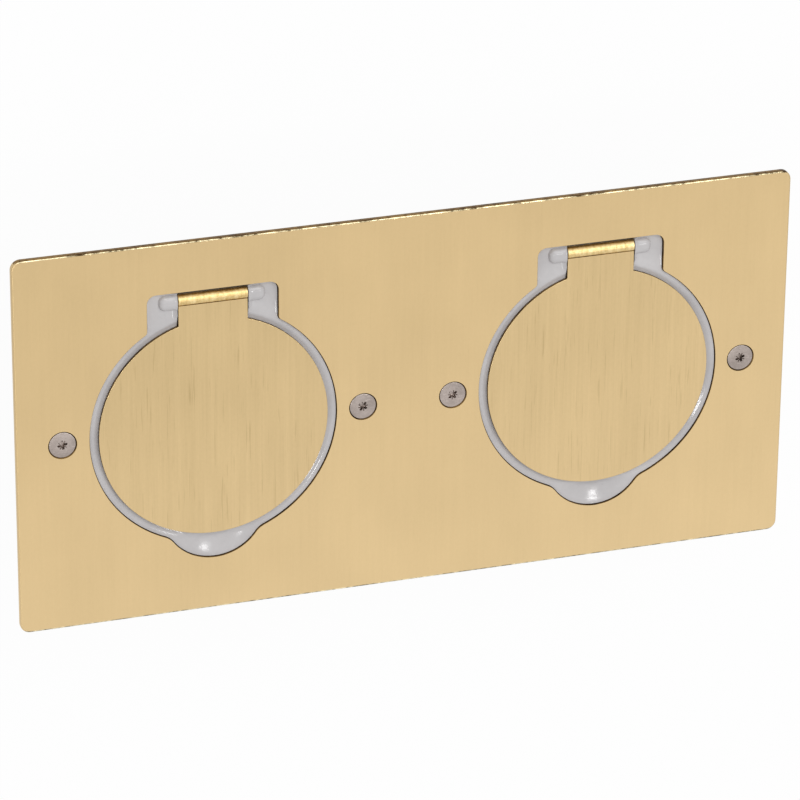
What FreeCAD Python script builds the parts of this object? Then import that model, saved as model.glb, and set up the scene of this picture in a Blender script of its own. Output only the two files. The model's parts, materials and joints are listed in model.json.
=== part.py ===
import FreeCAD, Part
import Sketcher
import math
import os
import re

from FreeCAD import Placement, Rotation, Vector

# Floor socket box: two earthed outlets side by side in a flush box let into the floor, under one
# brass cover plate with a hinged round flap over each outlet.
# Frame: the box stands on its underside at z = 0, centred on x = y = 0. X runs along the cover,
# Y points to the hinges, Z out of the floor. Pieces of one gang are drawn about its own centre.

doc = FreeCAD.newDocument("FloorSocketBox")

driving = (
    # cover plate
    ("gang_pitch", 100, "distance between the two gang centres"),
    ("plate_thickness", 2, "cover plate sheet"),
    ("plate_end", 11.7, "cover plate beyond the outer cover screws"),
    ("plate_overlap", 8, "cover plate beyond the tray, along Y"),
    ("plate_corner", 2.8, "corner radius of the cover plate"),
    ("plate_edge", 0.4, "rounding of the outer top edge"),
    ("rim_edge", 0.15, "broken edge round each opening"),
    ("ring_width", 2.35, "opening of the cover plate round the flap"),
    ("recess_corner", 2.3, "corner radius of the hinge recess"),
    ("recess_blend", 1.2, "rounding where the recess meets the opening"),
    ("scoop_radius", 13, "finger scoop outline"),
    ("scoop_inset", 8.5, "centre of the scoop outline inside the opening"),
    ("scoop_blend", 5.5, "rounding where the scoop meets the opening"),
    ("screw_land", 6.8, "cover screws beyond the opening"),
    ("screw_radius", 1.75, "M3.5 cover screw"),
    ("screw_hole_radius", 1.95, "clearance hole of a cover screw"),
    ("screw_head_radius", 3.35, "countersunk head"),
    ("screw_head_drop", 0.4, "head below the face of the cover plate"),
    ("screw_length", 17, "cover screw, head included"),
    ("cross_width", 0.9, "bars of the cross recess"),
    ("cross_depth", 1.2, "depth of the cross recess"),
    # seal on the floor
    ("gasket_thickness", 1, "foam seal between cover plate and floor"),
    ("gasket_inset", 1.5, "seal set back from the edge of the cover plate"),
    ("gasket_room", 0.5, "seal round the outside of the tray"),
    # hinged flap
    ("flap_thickness", 0.8, "flap sheet"),
    ("flap_edge", 0.2, "rounding of the flap's top edge"),
    ("tab_width", 17.5, "tab that carries the knuckle"),
    ("knuckle_radius", 1.5, "outside of the rolled knuckle"),
    ("hinge_reach", 2.1, "hinge axis beyond the opening"),
    ("hinge_margin", 2.8, "hinge recess beyond the hinge axis"),
    ("hinge_drop", 1.1, "hinge axis below the face"),
    ("seam_width", 0.2, "slit at the free edge of the rolled knuckle"),
    ("pin_radius", 0.8, "hinge pin"),
    ("pin_bite", 2.95, "length of the hinge pin in each ear"),
    ("pin_running_gap", 0.05, "knuckle bore over the pin, radial"),
    ("pin_seat_gap", 0.02, "pin in the ears, radial"),
    ("liner_inset", 0.95, "plastic liner inside the edge of the flap"),
    ("liner_thickness", 1.1, "liner plate"),
    ("liner_rib", 0.8, "width of a liner rib"),
    ("liner_rib_depth", 0.5, "height of a liner rib"),
    ("liner_ribs", 8, "number of liner ribs"),
    ("liner_hub", 2.4, "round pad in the middle of the liner"),
    ("spigot_gap", 1.6, "ring of the liner inside the frame's way through"),
    ("spigot_wall", 1.2, "wall of that ring"),
    ("spigot_depth", 0.9, "height of that ring"),
    ("seal_margin", 1.2, "rubber seal inside the edge of the liner"),
    ("seal_width", 2.2, "rubber seal of the flap"),
    ("seal_groove", 0.5, "depth of its groove in the liner"),
    ("seal_height", 0.4, "liner above the frame"),
    ("seal_slack", 0.25, "closed seal above the frame"),
    ("seal_lip", 0.6, "slope of the seal's lip"),
    # flap frame
    ("frame_gap", 0.15, "frame inside the opening of the cover plate"),
    ("flap_gap", 0.3, "frame round the flap and its tab"),
    ("ring_drop", 1, "visible ring below the face"),
    ("ring_round", 0.4, "rounding of the ring's inner edge"),
    ("ear_rise", 0.2, "hinge ears above the underside of the cover plate"),
    ("ear_margin", 3.15, "recess beyond the end of a hinge boss"),
    ("knuckle_floor_gap", 0.35, "knuckle above the bottom of its slot"),
    ("slot_length", 6.4, "knuckle slot, back from the edge of the recess"),
    ("boss_length", 4.4, "rounded hinge boss on an ear"),
    ("flange_thickness", 1.6, "clamped flange of the frame"),
    ("flange_reach", 2.8, "flange beyond the opening"),
    ("aperture_gap", 0.8, "way through to the outlet, round the outlet's collar"),
    ("land_margin", 1.4, "seal outside the way through"),
    ("bowl_shift", 3, "centre of the finger bowl beyond that of the scoop"),
    ("bowl_rim", 0.4, "finger bowl inside the scoop"),
    ("bowl_depth", 1.6, "finger bowl below the ring"),
    # mounting plate that holds both outlets
    ("support_thickness", 1.2, "steel mounting plate"),
    ("support_gap", 0.4, "mounting plate inside the box"),
    ("support_hole_gap", 0.4, "mounting plate round the outlet's collar"),
    ("support_corner", 6, "corner radius"),
    ("window_width", 12, "cable window of the mounting plate, along X"),
    ("window_length", 22, "cable window, along Y"),
    ("window_margin", 5, "cable window inside the edge of the tray"),
    ("window_corner", 4, "corner radius of the cable window"),
    # flush box
    ("tray_end", 5.7, "tray beyond the outer cover screws"),
    ("tray_wall", 2, "wall of the tray"),
    ("tray_room", 0.8, "room between the tray and the flap frames"),
    ("tray_corner", 8, "corner radius of the tray"),
    ("ledge_width", 4, "step that carries the mounting plate"),
    ("wiring_room", 7.3, "room for wires round an outlet"),
    ("pot_wall", 1.7, "wall of the round pot under each gang"),
    ("pot_floor", 2, "floor of a pot"),
    ("pot_round", 9, "bottom edge of a pot"),
    ("base_room", 1.2, "outlet above the floor of its pot"),
    ("duct_width", 28, "duct between the pots, along Y"),
    ("duct_wall", 2, "wall of the duct"),
    ("duct_bottom", 11, "underside of the duct"),
    ("boss_radius", 4.6, "screw boss"),
    ("boss_floor", 2.3, "floor of a screw boss"),
    ("boss_gap", 0.3, "free depth under a cover screw"),
    ("rib_thickness", 1.6, "stiffening rib"),
    ("rib_reach", 7, "rib beyond the pot"),
    ("rib_drop", 13, "rib below the tray"),
    ("rib_angle", 60, "angle between ribs of a pot, degrees"),
    ("conduit_radius", 10.1, "bore for a 20 mm conduit"),
    ("conduit_wall", 2, "wall of the conduit neck"),
    ("conduit_seat", 9, "depth that a conduit enters"),
    ("conduit_stop", 1.4, "step that stops the conduit"),
    ("conduit_level", 16.5, "centre of the conduit above the underside"),
    ("neck_step", 0.5, "end of the conduit outside the pot"),
    ("knockout_radius", 8, "scored knock-out in a pot's floor"),
    ("knockout_score", 0.8, "width of its score"),
    ("score_depth", 0.8, "depth of its score"),
    ("insert_radius", 2.6, "threaded insert in a boss"),
    ("insert_length", 8, "threaded insert in a boss"),
    ("insert_groove", 0.3, "knurled groove of an insert"),
    ("thread_gap", 0.03, "screw in its threaded hole, radial"),
    # outlet
    ("plug_room", 0.4, "outlet below the closed flap"),
    ("well_radius", 19.75, "round well for the plug"),
    ("well_depth", 15, "depth of the well"),
    ("well_lead", 0.6, "chamfer at the mouth of the well"),
    ("well_floor", 2.2, "floor of the well"),
    ("well_wall", 2.25, "wall of the well"),
    ("collar_rim", 0.6, "front collar beyond the wall of the well"),
    ("outlet_flange", 2.2, "thickness of the flange under the mounting plate"),
    ("flange_margin", 2.5, "that flange beyond its screws"),
    ("skirt_wall", 3.8, "lower half of the outlet beyond its terminals"),
    ("skirt_height", 7, "skirt of the front above the joint"),
    ("pole_offset", 9.5, "live and neutral, from the centre"),
    ("pole_hole_radius", 2.7, "live and neutral holes"),
    ("pole_lead", 0.6, "chamfer of those holes"),
    ("plug_pin_length", 19, "length of a plug's pins"),
    ("plug_pin_radius", 2.4, "radius of a plug's pins"),
    ("plug_pin_gap", 0.3, "room round and below a plug's pin"),
    ("earth_offset", 10, "earth pin, from the centre"),
    ("earth_drop", 1, "tip of the earth pin below the mouth of the well"),
    ("earth_crown", 1.4, "rounding of its tip"),
    ("earth_collar", 3.1, "radius of its collar"),
    ("earth_tail", 1.5, "radius of its riveted tail"),
    ("earth_hole_gap", 0.05, "earth pin in the floor of the well, radial"),
    ("base_floor", 1.3, "thinnest floor of the contact base"),
    ("base_round", 1.2, "chamfer round the contact base"),
    ("outlet_screw_radius", 1.5, "M3 screw that holds an outlet"),
    ("outlet_screw_hole", 1.65, "its hole in the flange"),
    ("outlet_screw_gap", 0.7, "its head beyond the wall of the well"),
    ("pan_radius", 2.4, "its pan head"),
    ("pan_height", 1.6, "its pan head"),
    ("base_screw_radius", 1.2, "2.4 mm screw that joins base and front"),
    ("base_screw_hole", 1.35, "its hole in the base"),
    ("base_screw_inset", 2.3, "that screw inside the edge of the base"),
    ("base_head_radius", 2.1, "its head"),
    ("base_head_height", 1.5, "its head"),
    ("base_screw_bite", 6, "its length in the front"),
    # contacts and terminals
    ("chamber_gap", 0.3, "room round a contact"),
    ("contact_bottom", 3.2, "contacts above the base's underside"),
    ("fork_wall", 0.7, "leaf of a contact"),
    ("fork_pinch", 0.2, "leaves closer than a plug's pin"),
    ("fork_height", 8.5, "height of the leaves"),
    ("fork_slit", 1, "gap between the leaves"),
    ("terminal_gap", 1.3, "terminal block beyond the earth pin's collar"),
    ("terminal_length", 5.8, "terminal block, outwards"),
    ("terminal_width", 6.8, "terminal block"),
    ("terminal_height", 6.4, "terminal block"),
    ("wire_radius", 1.5, "hole for a 2.5 mm2 wire"),
    ("clamp_radius", 1.5, "M3 clamping screw"),
    ("clamp_head_radius", 2.5, "its head"),
    ("clamp_head", 1.8, "its head"),
    ("clamp_gap", 0.25, "room round its head"),
    ("strap_thickness", 1.2, "earth strap"),
    ("strap_drop", 2.8, "earth strap below the joint of the outlet"),
    ("rivet_length", 1, "earth pin's tail below the strap"),
    # safety shutter
    ("shutter_cover", 1, "shutter beyond the pin holes, along X"),
    ("shutter_lap", 0.3, "shutter beyond the pin holes, along Y"),
    ("shutter_clear", 0.4, "open shutter beyond a plug's pins"),
    ("shutter_thickness", 2.4, "shutter"),
    ("shutter_gap", 0.3, "room round the shutter"),
    ("shutter_ramp", 1.7, "ramp that a plug's pin pushes"),
    ("shutter_waist", 1.2, "shutter narrower between its ends"),
    ("peg_radius", 0.6, "peg that centres the spring"),
    ("peg_length", 1.6, "peg that centres the spring"),
    ("spring_radius", 1, "coil, to the middle of the wire"),
    ("spring_wire", 0.2, "radius of the wire"),
    ("spring_turns", 7, "number of turns"),
    ("spring_length", 12, "coil when the shutter is closed"),
    ("spring_gap", 0.15, "room round the coil"),
    # slotted heads
    ("slot_width", 0.7, "slot of a screw head"),
    ("slot_turn", 30, "slots turned from the length, degrees"),
    # earth bonding of the metal cover
    ("bond_offset", 27, "bonding screw, from the middle"),
    ("bond_radius", 2, "M4 bonding screw"),
    ("bond_head_radius", 3.8, "its head"),
    ("bond_head", 2.4, "its head"),
    ("bond_room", 0.8, "its head above the floor of the tray"),
    ("bond_washer_radius", 5, "saddle washer"),
    ("bond_washer", 1, "saddle washer"),
)

derived = {
    # radii, from the plug outwards
    "wall_radius": "well_radius + well_wall",
    "collar_radius": "wall_radius + collar_rim",
    "aperture_radius": "collar_radius + aperture_gap",
    "spigot_radius": "aperture_radius - spigot_gap",
    "seal_inner": "aperture_radius + land_margin",
    "seal_outer": "seal_inner + seal_width",
    "liner_radius": "seal_outer + seal_margin",
    "flap_radius": "liner_radius + liner_inset",
    "opening_radius": "flap_radius + ring_width",
    "ring_inside": "opening_radius - frame_gap - flap_gap",
    "terminal_start": "earth_offset + earth_collar + terminal_gap",
    "terminal_end": "terminal_start + terminal_length",
    "wire_offset": "(terminal_start + terminal_end) / 2",
    "skirt_radius": "terminal_end + skirt_wall",
    "pot_radius": "skirt_radius + wiring_room + pot_wall",
    "inside_pot": "pot_radius - 2 * pot_wall",
    "neck_reach": "pot_radius + neck_step + conduit_seat",
    "outlet_screw_offset": "wall_radius + outlet_screw_gap + pan_radius",
    "outlet_flange_radius": "outlet_screw_offset + flange_margin",
    "diagonal": "(skirt_radius - base_screw_inset) * sqrt(2) / 2",
    # hinge, recess and scoop, from the gang centre
    "hinge_offset": "opening_radius + hinge_reach",
    "recess_reach": "hinge_offset + hinge_margin",
    "slot_start": "recess_reach - slot_length",
    "slot_half": "tab_width / 2 + flap_gap",
    "pin_length": "2 * (slot_half + pin_bite)",
    "recess_half": "slot_half + boss_length + ear_margin",
    "scoop_offset": "opening_radius - scoop_inset",
    "bowl_centre": "scoop_offset + bowl_shift",
    "bowl_radius": "scoop_radius - bowl_shift - bowl_rim",
    # plan of the cover and the tray
    "screw_reach": "opening_radius + screw_land",
    "inner_screw": "gang_pitch / 2 - screw_reach",
    "outer_screw": "gang_pitch / 2 + screw_reach",
    "tray_length": "2 * (outer_screw + tray_end)",
    "tray_width": "2 * (recess_reach + flange_reach + tray_room + tray_wall)",
    "plate_length": "2 * (outer_screw + plate_end)",
    "plate_width": "tray_width + 2 * plate_overlap",
    "inner_length": "tray_length - 2 * tray_wall",
    "inner_width": "tray_width - 2 * tray_wall",
    "window_end": "inner_width / 2 - window_margin",
    "duct_end": "gang_pitch / 2 - inside_pot",
    # levels of the outlet, upwards
    "base_bottom": "pot_floor + base_room",
    "contact_level": "base_bottom + contact_bottom",
    "clamp_level": "contact_level + terminal_height / 2",
    "pin_tip_level": "base_bottom + base_floor + plug_pin_gap",
    "well_level": "pin_tip_level + plug_pin_length",
    "joint_level": "well_level - well_floor",
    "cavity_level": "joint_level - shutter_thickness - 2 * shutter_gap",
    "shutter_level": "cavity_level + shutter_gap",
    "strap_top": "joint_level - strap_drop",
    "strap_under": "strap_top - strap_thickness",
    "socket_front_level": "well_level + well_depth",
    # levels of the flap, the cover and the box
    "liner_under": "socket_front_level + plug_room + spigot_depth",
    "groove_level": "liner_under + seal_groove",
    "land_level": "liner_under - seal_height",
    "flap_under": "liner_under + liner_thickness",
    "face": "flap_under + flap_thickness",
    "ring_level": "face - ring_drop",
    "hinge_level": "face - hinge_drop",
    "slot_floor": "hinge_level - knuckle_radius - knuckle_floor_gap",
    "head_top": "face - screw_head_drop",
    "head_depth": "screw_head_radius - screw_radius",
    "under_plate": "face - plate_thickness",
    "ear_level": "under_plate + ear_rise",
    "support_top": "under_plate - flange_thickness",
    "ledge_level": "support_top - support_thickness",
    "box_depth": "under_plate - gasket_thickness",
    "tray_floor": "ledge_level - bond_washer - bond_head - bond_room",
    "tray_bottom": "tray_floor - tray_wall",
    "boss_bottom": "head_top - screw_length - boss_gap - boss_floor",
    # shutter and spring
    "shutter_length": "2 * (pole_offset + pole_hole_radius + shutter_cover)",
    "shutter_width": "2 * (pole_hole_radius + shutter_lap)",
    "shutter_travel": "shutter_width / 2 + plug_pin_radius + shutter_clear",
    "cavity_rear": "shutter_width / 2 + shutter_travel + shutter_gap",
    "spring_end": "shutter_width / 2 + spring_gap + spring_length",
}

sheet = doc.addObject("Spreadsheet::Sheet", "Sizes")
for row, (alias, number, note) in enumerate(driving, 1):
    sheet.set(f"A{row}", note)
    sheet.set(f"B{row}", str(number))
    sheet.setAlias(f"B{row}", alias)
doc.recompute()

levels = doc.addObject("App::VarSet", "Levels")
driving_names = {alias for alias, number, note in driving}
closeness = 0.01   # how near a computed point has to lie to count as the one meant
gangs = ("-gang_pitch / 2", "gang_pitch / 2")


def formula(text):
    """The expression with every named size pointed at the sheet or at the derived levels."""
    def home(found):
        word = found.group()
        if word in driving_names:
            return "Sizes." + word
        return "Levels." + word if word in derived else word
    return re.sub(r"[a-z_]+", home, text)


def number(text):
    result = levels.evalExpression(formula(text))
    return float(getattr(result, "Value", result))


for name, text in derived.items():
    levels.addProperty("App::PropertyFloat", name)
    levels.setExpression(name, formula(text))
    doc.recompute()


def near(one, other):
    return abs(one - other) < closeness


# ---- sketch shapes: each returns a function that draws itself, fully constrained


def tie(sketch, geometry, end, x, y):
    """Holds one point of a sketch at (x, y), each an expression."""
    for axis, kind, text in ((-2, "DistanceX", x), (-1, "DistanceY", y)):
        if text == "0":
            sketch.addConstraint(Sketcher.Constraint("PointOnObject", geometry, end, axis))
        else:
            held = sketch.addConstraint(Sketcher.Constraint(kind, -1, 1, geometry, end, number(text)))
            sketch.setExpression(f"Constraints[{held}]", formula(text))


def circle(x, y, radius):
    def draw(sketch):
        centre = Vector(number(x), number(y), 0)
        ring = sketch.addGeometry(Part.Circle(centre, Vector(0, 0, 1), number(radius)))
        held = sketch.addConstraint(Sketcher.Constraint("Radius", ring, number(radius)))
        sketch.setExpression(f"Constraints[{held}]", formula(radius))
        tie(sketch, ring, 3, x, y)
    return draw


def outline(*points):
    """A closed outline through points, each a pair of expressions."""
    def draw(sketch):
        corners = [Vector(number(x), number(y), 0) for x, y in points]
        sides = [
            sketch.addGeometry(Part.LineSegment(corner, corners[(place + 1) % len(corners)]))
            for place, corner in enumerate(corners)
        ]
        for place, side in enumerate(sides):
            following = sides[(place + 1) % len(sides)]
            sketch.addConstraint(Sketcher.Constraint("Coincident", side, 2, following, 1))
        for side, (x, y) in zip(sides, points):
            tie(sketch, side, 1, x, y)
    return draw


def slab(left, bottom, right, top):
    return outline((left, bottom), (right, bottom), (right, top), (left, top))


def rounded(length, width, corner):
    """A rectangle about the origin with round corners."""
    def draw(sketch):
        reach_x, reach_y, radius = number(length) / 2, number(width) / 2, number(corner)
        ways = ((1, -1), (1, 1), (-1, 1), (-1, -1))
        arcs = []
        for step, (way_x, way_y) in enumerate(ways):
            centre = Vector(way_x * (reach_x - radius), way_y * (reach_y - radius), 0)
            start = (step - 1) * math.pi / 2
            arcs.append(sketch.addGeometry(Part.ArcOfCircle(
                Part.Circle(centre, Vector(0, 0, 1), radius), start, start + math.pi / 2)))
        for step, arc in enumerate(arcs):
            following = arcs[(step + 1) % 4]
            side = sketch.addGeometry(Part.LineSegment(
                sketch.getPoint(arc, 2), sketch.getPoint(following, 1)))
            sketch.addConstraint(Sketcher.Constraint("Tangent", arc, 2, side, 1))
            sketch.addConstraint(Sketcher.Constraint("Tangent", side, 2, following, 1))
        for arc, (way_x, way_y) in zip(arcs, ways):
            held = sketch.addConstraint(Sketcher.Constraint("Radius", arc, radius))
            sketch.setExpression(f"Constraints[{held}]", formula(corner))
            tie(sketch, arc, 3, f"{way_x} * (({length}) / 2 - ({corner}))",
                f"{way_y} * (({width}) / 2 - ({corner}))")
    return draw


def centred(length, width):
    return slab(f"-({length}) / 2", f"-({width}) / 2", f"({length}) / 2", f"({width}) / 2")


def bullet(start, end, axis, radius):
    """Half of a round boss with a domed end, to be turned about the line y = axis."""
    def draw(sketch):
        near_x, far_x = number(start), number(end)
        low, high = number(axis), number(axis) + number(radius)
        dome_x = far_x - number(radius)
        base = sketch.addGeometry(Part.LineSegment(Vector(far_x, low, 0), Vector(near_x, low, 0)))
        back = sketch.addGeometry(Part.LineSegment(Vector(near_x, low, 0), Vector(near_x, high, 0)))
        top = sketch.addGeometry(Part.LineSegment(Vector(near_x, high, 0), Vector(dome_x, high, 0)))
        dome = sketch.addGeometry(Part.ArcOfCircle(
            Part.Circle(Vector(dome_x, low, 0), Vector(0, 0, 1), number(radius)), 0, math.pi / 2))
        for pair in ((base, 2, back, 1), (back, 2, top, 1), (dome, 1, base, 1)):
            sketch.addConstraint(Sketcher.Constraint("Coincident", *pair))
        sketch.addConstraint(Sketcher.Constraint("Horizontal", base))
        sketch.addConstraint(Sketcher.Constraint("Vertical", back))
        sketch.addConstraint(Sketcher.Constraint("Horizontal", top))
        sketch.addConstraint(Sketcher.Constraint("PointOnObject", dome, 3, base))
        sketch.addConstraint(Sketcher.Constraint("Tangent", top, 2, dome, 2))
        held = sketch.addConstraint(Sketcher.Constraint("Radius", dome, number(radius)))
        sketch.setExpression(f"Constraints[{held}]", formula(radius))
        tie(sketch, base, 1, end, axis)
        held = sketch.addConstraint(Sketcher.Constraint("DistanceX", -1, 1, back, 1, near_x))
        sketch.setExpression(f"Constraints[{held}]", formula(start))
    return draw


def dish(axis, radius, depth, rim, clear):
    """Half of a round dish: an arc from its lowest point on x = axis to its rim, closed above."""
    def draw(sketch):
        middle, brim = number(axis), number(axis) + number(radius)
        low, high, top = number(rim) - number(depth), number(rim), number(rim) + number(clear)
        sphere = (number(radius) ** 2 + number(depth) ** 2) / (2 * number(depth))
        centre = Vector(middle, low + sphere, 0)
        turn = math.asin(number(radius) / sphere)
        bowl = sketch.addGeometry(Part.ArcOfCircle(
            Part.Circle(centre, Vector(0, 0, 1), sphere), -math.pi / 2, turn - math.pi / 2))
        side = sketch.addGeometry(Part.LineSegment(Vector(brim, high, 0), Vector(brim, top, 0)))
        lid = sketch.addGeometry(Part.LineSegment(Vector(brim, top, 0), Vector(middle, top, 0)))
        spine = sketch.addGeometry(Part.LineSegment(Vector(middle, top, 0), Vector(middle, low, 0)))
        for pair in ((bowl, 2, side, 1), (side, 2, lid, 1), (lid, 2, spine, 1), (spine, 2, bowl, 1)):
            sketch.addConstraint(Sketcher.Constraint("Coincident", *pair))
        for line in (side, spine):
            sketch.addConstraint(Sketcher.Constraint("Vertical", line))
        sketch.addConstraint(Sketcher.Constraint("Horizontal", lid))
        sketch.addConstraint(Sketcher.Constraint("PointOnObject", bowl, 3, spine))
        tie(sketch, side, 1, f"{axis} + {radius}", rim)
        tie(sketch, spine, 2, axis, f"{rim} - {depth}")
        held = sketch.addConstraint(Sketcher.Constraint("DistanceY", -1, 1, lid, 1, top))
        sketch.setExpression(f"Constraints[{held}]", formula(f"{rim} + {clear}"))
    return draw


def cup(axis, radius, floor, top, corner):
    """Half of a round cup's inside with a rounded bottom, to be turned about x = axis."""
    def draw(sketch):
        middle, wall, bend = number(axis), number(axis) + number(radius), number(corner)
        low, high = number(floor), number(top)
        points = [Vector(*place, 0) for place in (
            (middle, high), (middle, low), (wall - bend, low), (wall, low + bend), (wall, high))]
        spine = sketch.addGeometry(Part.LineSegment(points[0], points[1]))
        base = sketch.addGeometry(Part.LineSegment(points[1], points[2]))
        turned = sketch.addGeometry(Part.ArcOfCircle(
            Part.Circle(Vector(wall - bend, low + bend, 0), Vector(0, 0, 1), bend), -math.pi / 2, 0))
        side = sketch.addGeometry(Part.LineSegment(points[3], points[4]))
        lid = sketch.addGeometry(Part.LineSegment(points[4], points[0]))
        for pair in ((spine, 2, base, 1), (side, 2, lid, 1), (lid, 2, spine, 1)):
            sketch.addConstraint(Sketcher.Constraint("Coincident", *pair))
        sketch.addConstraint(Sketcher.Constraint("Tangent", base, 2, turned, 1))
        sketch.addConstraint(Sketcher.Constraint("Tangent", turned, 2, side, 1))
        held = sketch.addConstraint(Sketcher.Constraint("Radius", turned, bend))
        sketch.setExpression(f"Constraints[{held}]", formula(corner))
        tie(sketch, spine, 2, axis, floor)
        tie(sketch, lid, 1, f"{axis} + {radius}", top)
        tie(sketch, turned, 3, f"{axis} + {radius} - ({corner})", f"{floor} + {corner}")
        sketch.addConstraint(Sketcher.Constraint("Vertical", spine))
    return draw


# ---- features: a body grows by blocks, loses sunk shapes, turns profiles and rounds edges


def new_body(label):
    body = doc.addObject("PartDesign::Body", label)
    body.Label = label
    return body


def origin_part(body, role):
    return next(part for part in body.Origin.OriginFeatures if part.Role == role)


def sketch_on(body, plane, offset, shapes):
    sketch = body.newObject("Sketcher::SketchObject", "Sketch")
    sketch.AttachmentSupport = [(origin_part(body, plane), "")]
    sketch.MapMode = "FlatFace"
    sketch.setExpression("AttachmentOffset.Base.z", formula(offset))
    for draw in shapes:
        draw(sketch)
    assert sketch.solve() == 0, f"unsolved sketch on {body.Label}"
    return sketch


def extrude(body, kind, plane, offset, length, shapes, side="One side"):
    feature = body.newObject("PartDesign::" + kind, kind)
    feature.Profile = sketch_on(body, plane, offset, shapes)
    feature.SideType = side
    feature.setExpression("Length", formula(length))
    doc.recompute()
    return feature


def block(body, low, high, *shapes):
    """Adds the shapes, drawn in plan, from level low up to level high."""
    return extrude(body, "Pad", "XY_Plane", low, f"({high}) - ({low})", shapes)


def sink(body, low, high, *shapes):
    """Cuts the shapes, drawn in plan, from level high down to level low."""
    before = body.Shape.Volume
    feature = extrude(body, "Pocket", "XY_Plane", high, f"({high}) - ({low})", shapes)
    assert body.Shape.Volume < before, "a pocket cut nothing from " + body.Label
    return feature


def bore_across(body, start, end, *shapes):
    """Cuts the shapes, drawn on the YZ plane, from x = end back to x = start."""
    before = body.Shape.Volume
    feature = extrude(body, "Pocket", "YZ_Plane", end, f"({end}) - ({start})", shapes)
    assert body.Shape.Volume < before, "a bore cut nothing from " + body.Label
    return feature


def bore_along(body, mouth, depth, *shapes):
    """Cuts the shapes, drawn on the XZ plane, from the front at y = -mouth back to y = depth - mouth."""
    before = body.Shape.Volume
    feature = body.newObject("PartDesign::Pocket", "Pocket")
    feature.Profile = sketch_on(body, "XZ_Plane", mouth, shapes)
    feature.setExpression("Length", formula(depth))
    doc.recompute()
    assert body.Shape.Volume < before, "a bore cut nothing from " + body.Label
    return feature


def turn(body, kind, plane, offset, axis, *shapes):
    """Revolves a profile: kind is Revolution to add or Groove to cut."""
    feature = body.newObject("PartDesign::" + kind, kind)
    feature.Profile = sketch_on(body, plane, offset, shapes)
    feature.ReferenceAxis = (feature.Profile[0], [axis])
    feature.Angle = 360
    doc.recompute()
    return feature


def copy_round(body, features, count):
    """Repeats features about the gang's own axis."""
    pattern = body.newObject("PartDesign::PolarPattern", "PolarPattern")
    pattern.Originals = features
    pattern.Axis = (origin_part(body, "Z_Axis"), [""])
    pattern.Angle = 360
    pattern.Occurrences = count
    body.Tip = pattern
    doc.recompute()
    return pattern


def mirror_over(body, plane, features):
    pattern = body.newObject("PartDesign::Mirrored", "Mirrored")
    pattern.Originals = features
    pattern.MirrorPlane = (origin_part(body, plane), [""])
    body.Tip = pattern
    doc.recompute()
    return pattern


def finish_edges(body, kind, size, wanted):
    """Rounds (Fillet) or chamfers the body's edges that pass the test."""
    base = body.Tip
    names = [f"Edge{place}" for place, edge in enumerate(base.Shape.Edges, 1) if wanted(edge)]
    assert names, "no edge to finish on " + body.Label
    feature = body.newObject("PartDesign::" + kind, kind)
    feature.Base = (base, names)
    feature.setExpression("Radius" if kind == "Fillet" else "Size", formula(size))
    doc.recompute()
    assert "Invalid" not in feature.State, f"{kind} {size} failed on {body.Label}"
    return feature


def upright(edge):
    ends = [vertex.Point for vertex in edge.Vertexes]
    return len(ends) == 2 and near(ends[0].x, ends[1].x) and near(ends[0].y, ends[1].y)


def at_level(edge, level):
    box = edge.BoundBox
    return near(box.ZMin, level) and near(box.ZMax, level)


def is_round(edge, radius):
    return hasattr(edge.Curve, "Radius") and near(edge.Curve.Radius, radius)


def reach(edge, centre_x=0.0):
    """Distance of an upright edge from a gang's axis."""
    point = edge.Vertexes[0].Point
    return math.hypot(point.x - centre_x, point.y)


def set_gang(piece, side, turned=0):
    """Moves a piece drawn about its gang's centre to that gang, turned about the gang's axis."""
    piece.Placement = Placement(Vector(), Rotation(Vector(0, 0, 1), turned))
    piece.setExpression("Placement.Base.x", formula(f"{side} * gang_pitch / 2"))


# ---- cover plate, its seal and the mounting plate


def opening(centre, gap):
    """The three shapes that make one opening of the cover plate, shrunk by gap."""
    half = f"recess_half - {gap}"
    return (
        circle(centre, "0", f"opening_radius - {gap}"),
        slab(f"{centre} - ({half})", "0", f"{centre} + {half}", f"recess_reach - {gap}"),
        circle(centre, "-scoop_offset", f"scoop_radius - {gap}"),
    )


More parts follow.
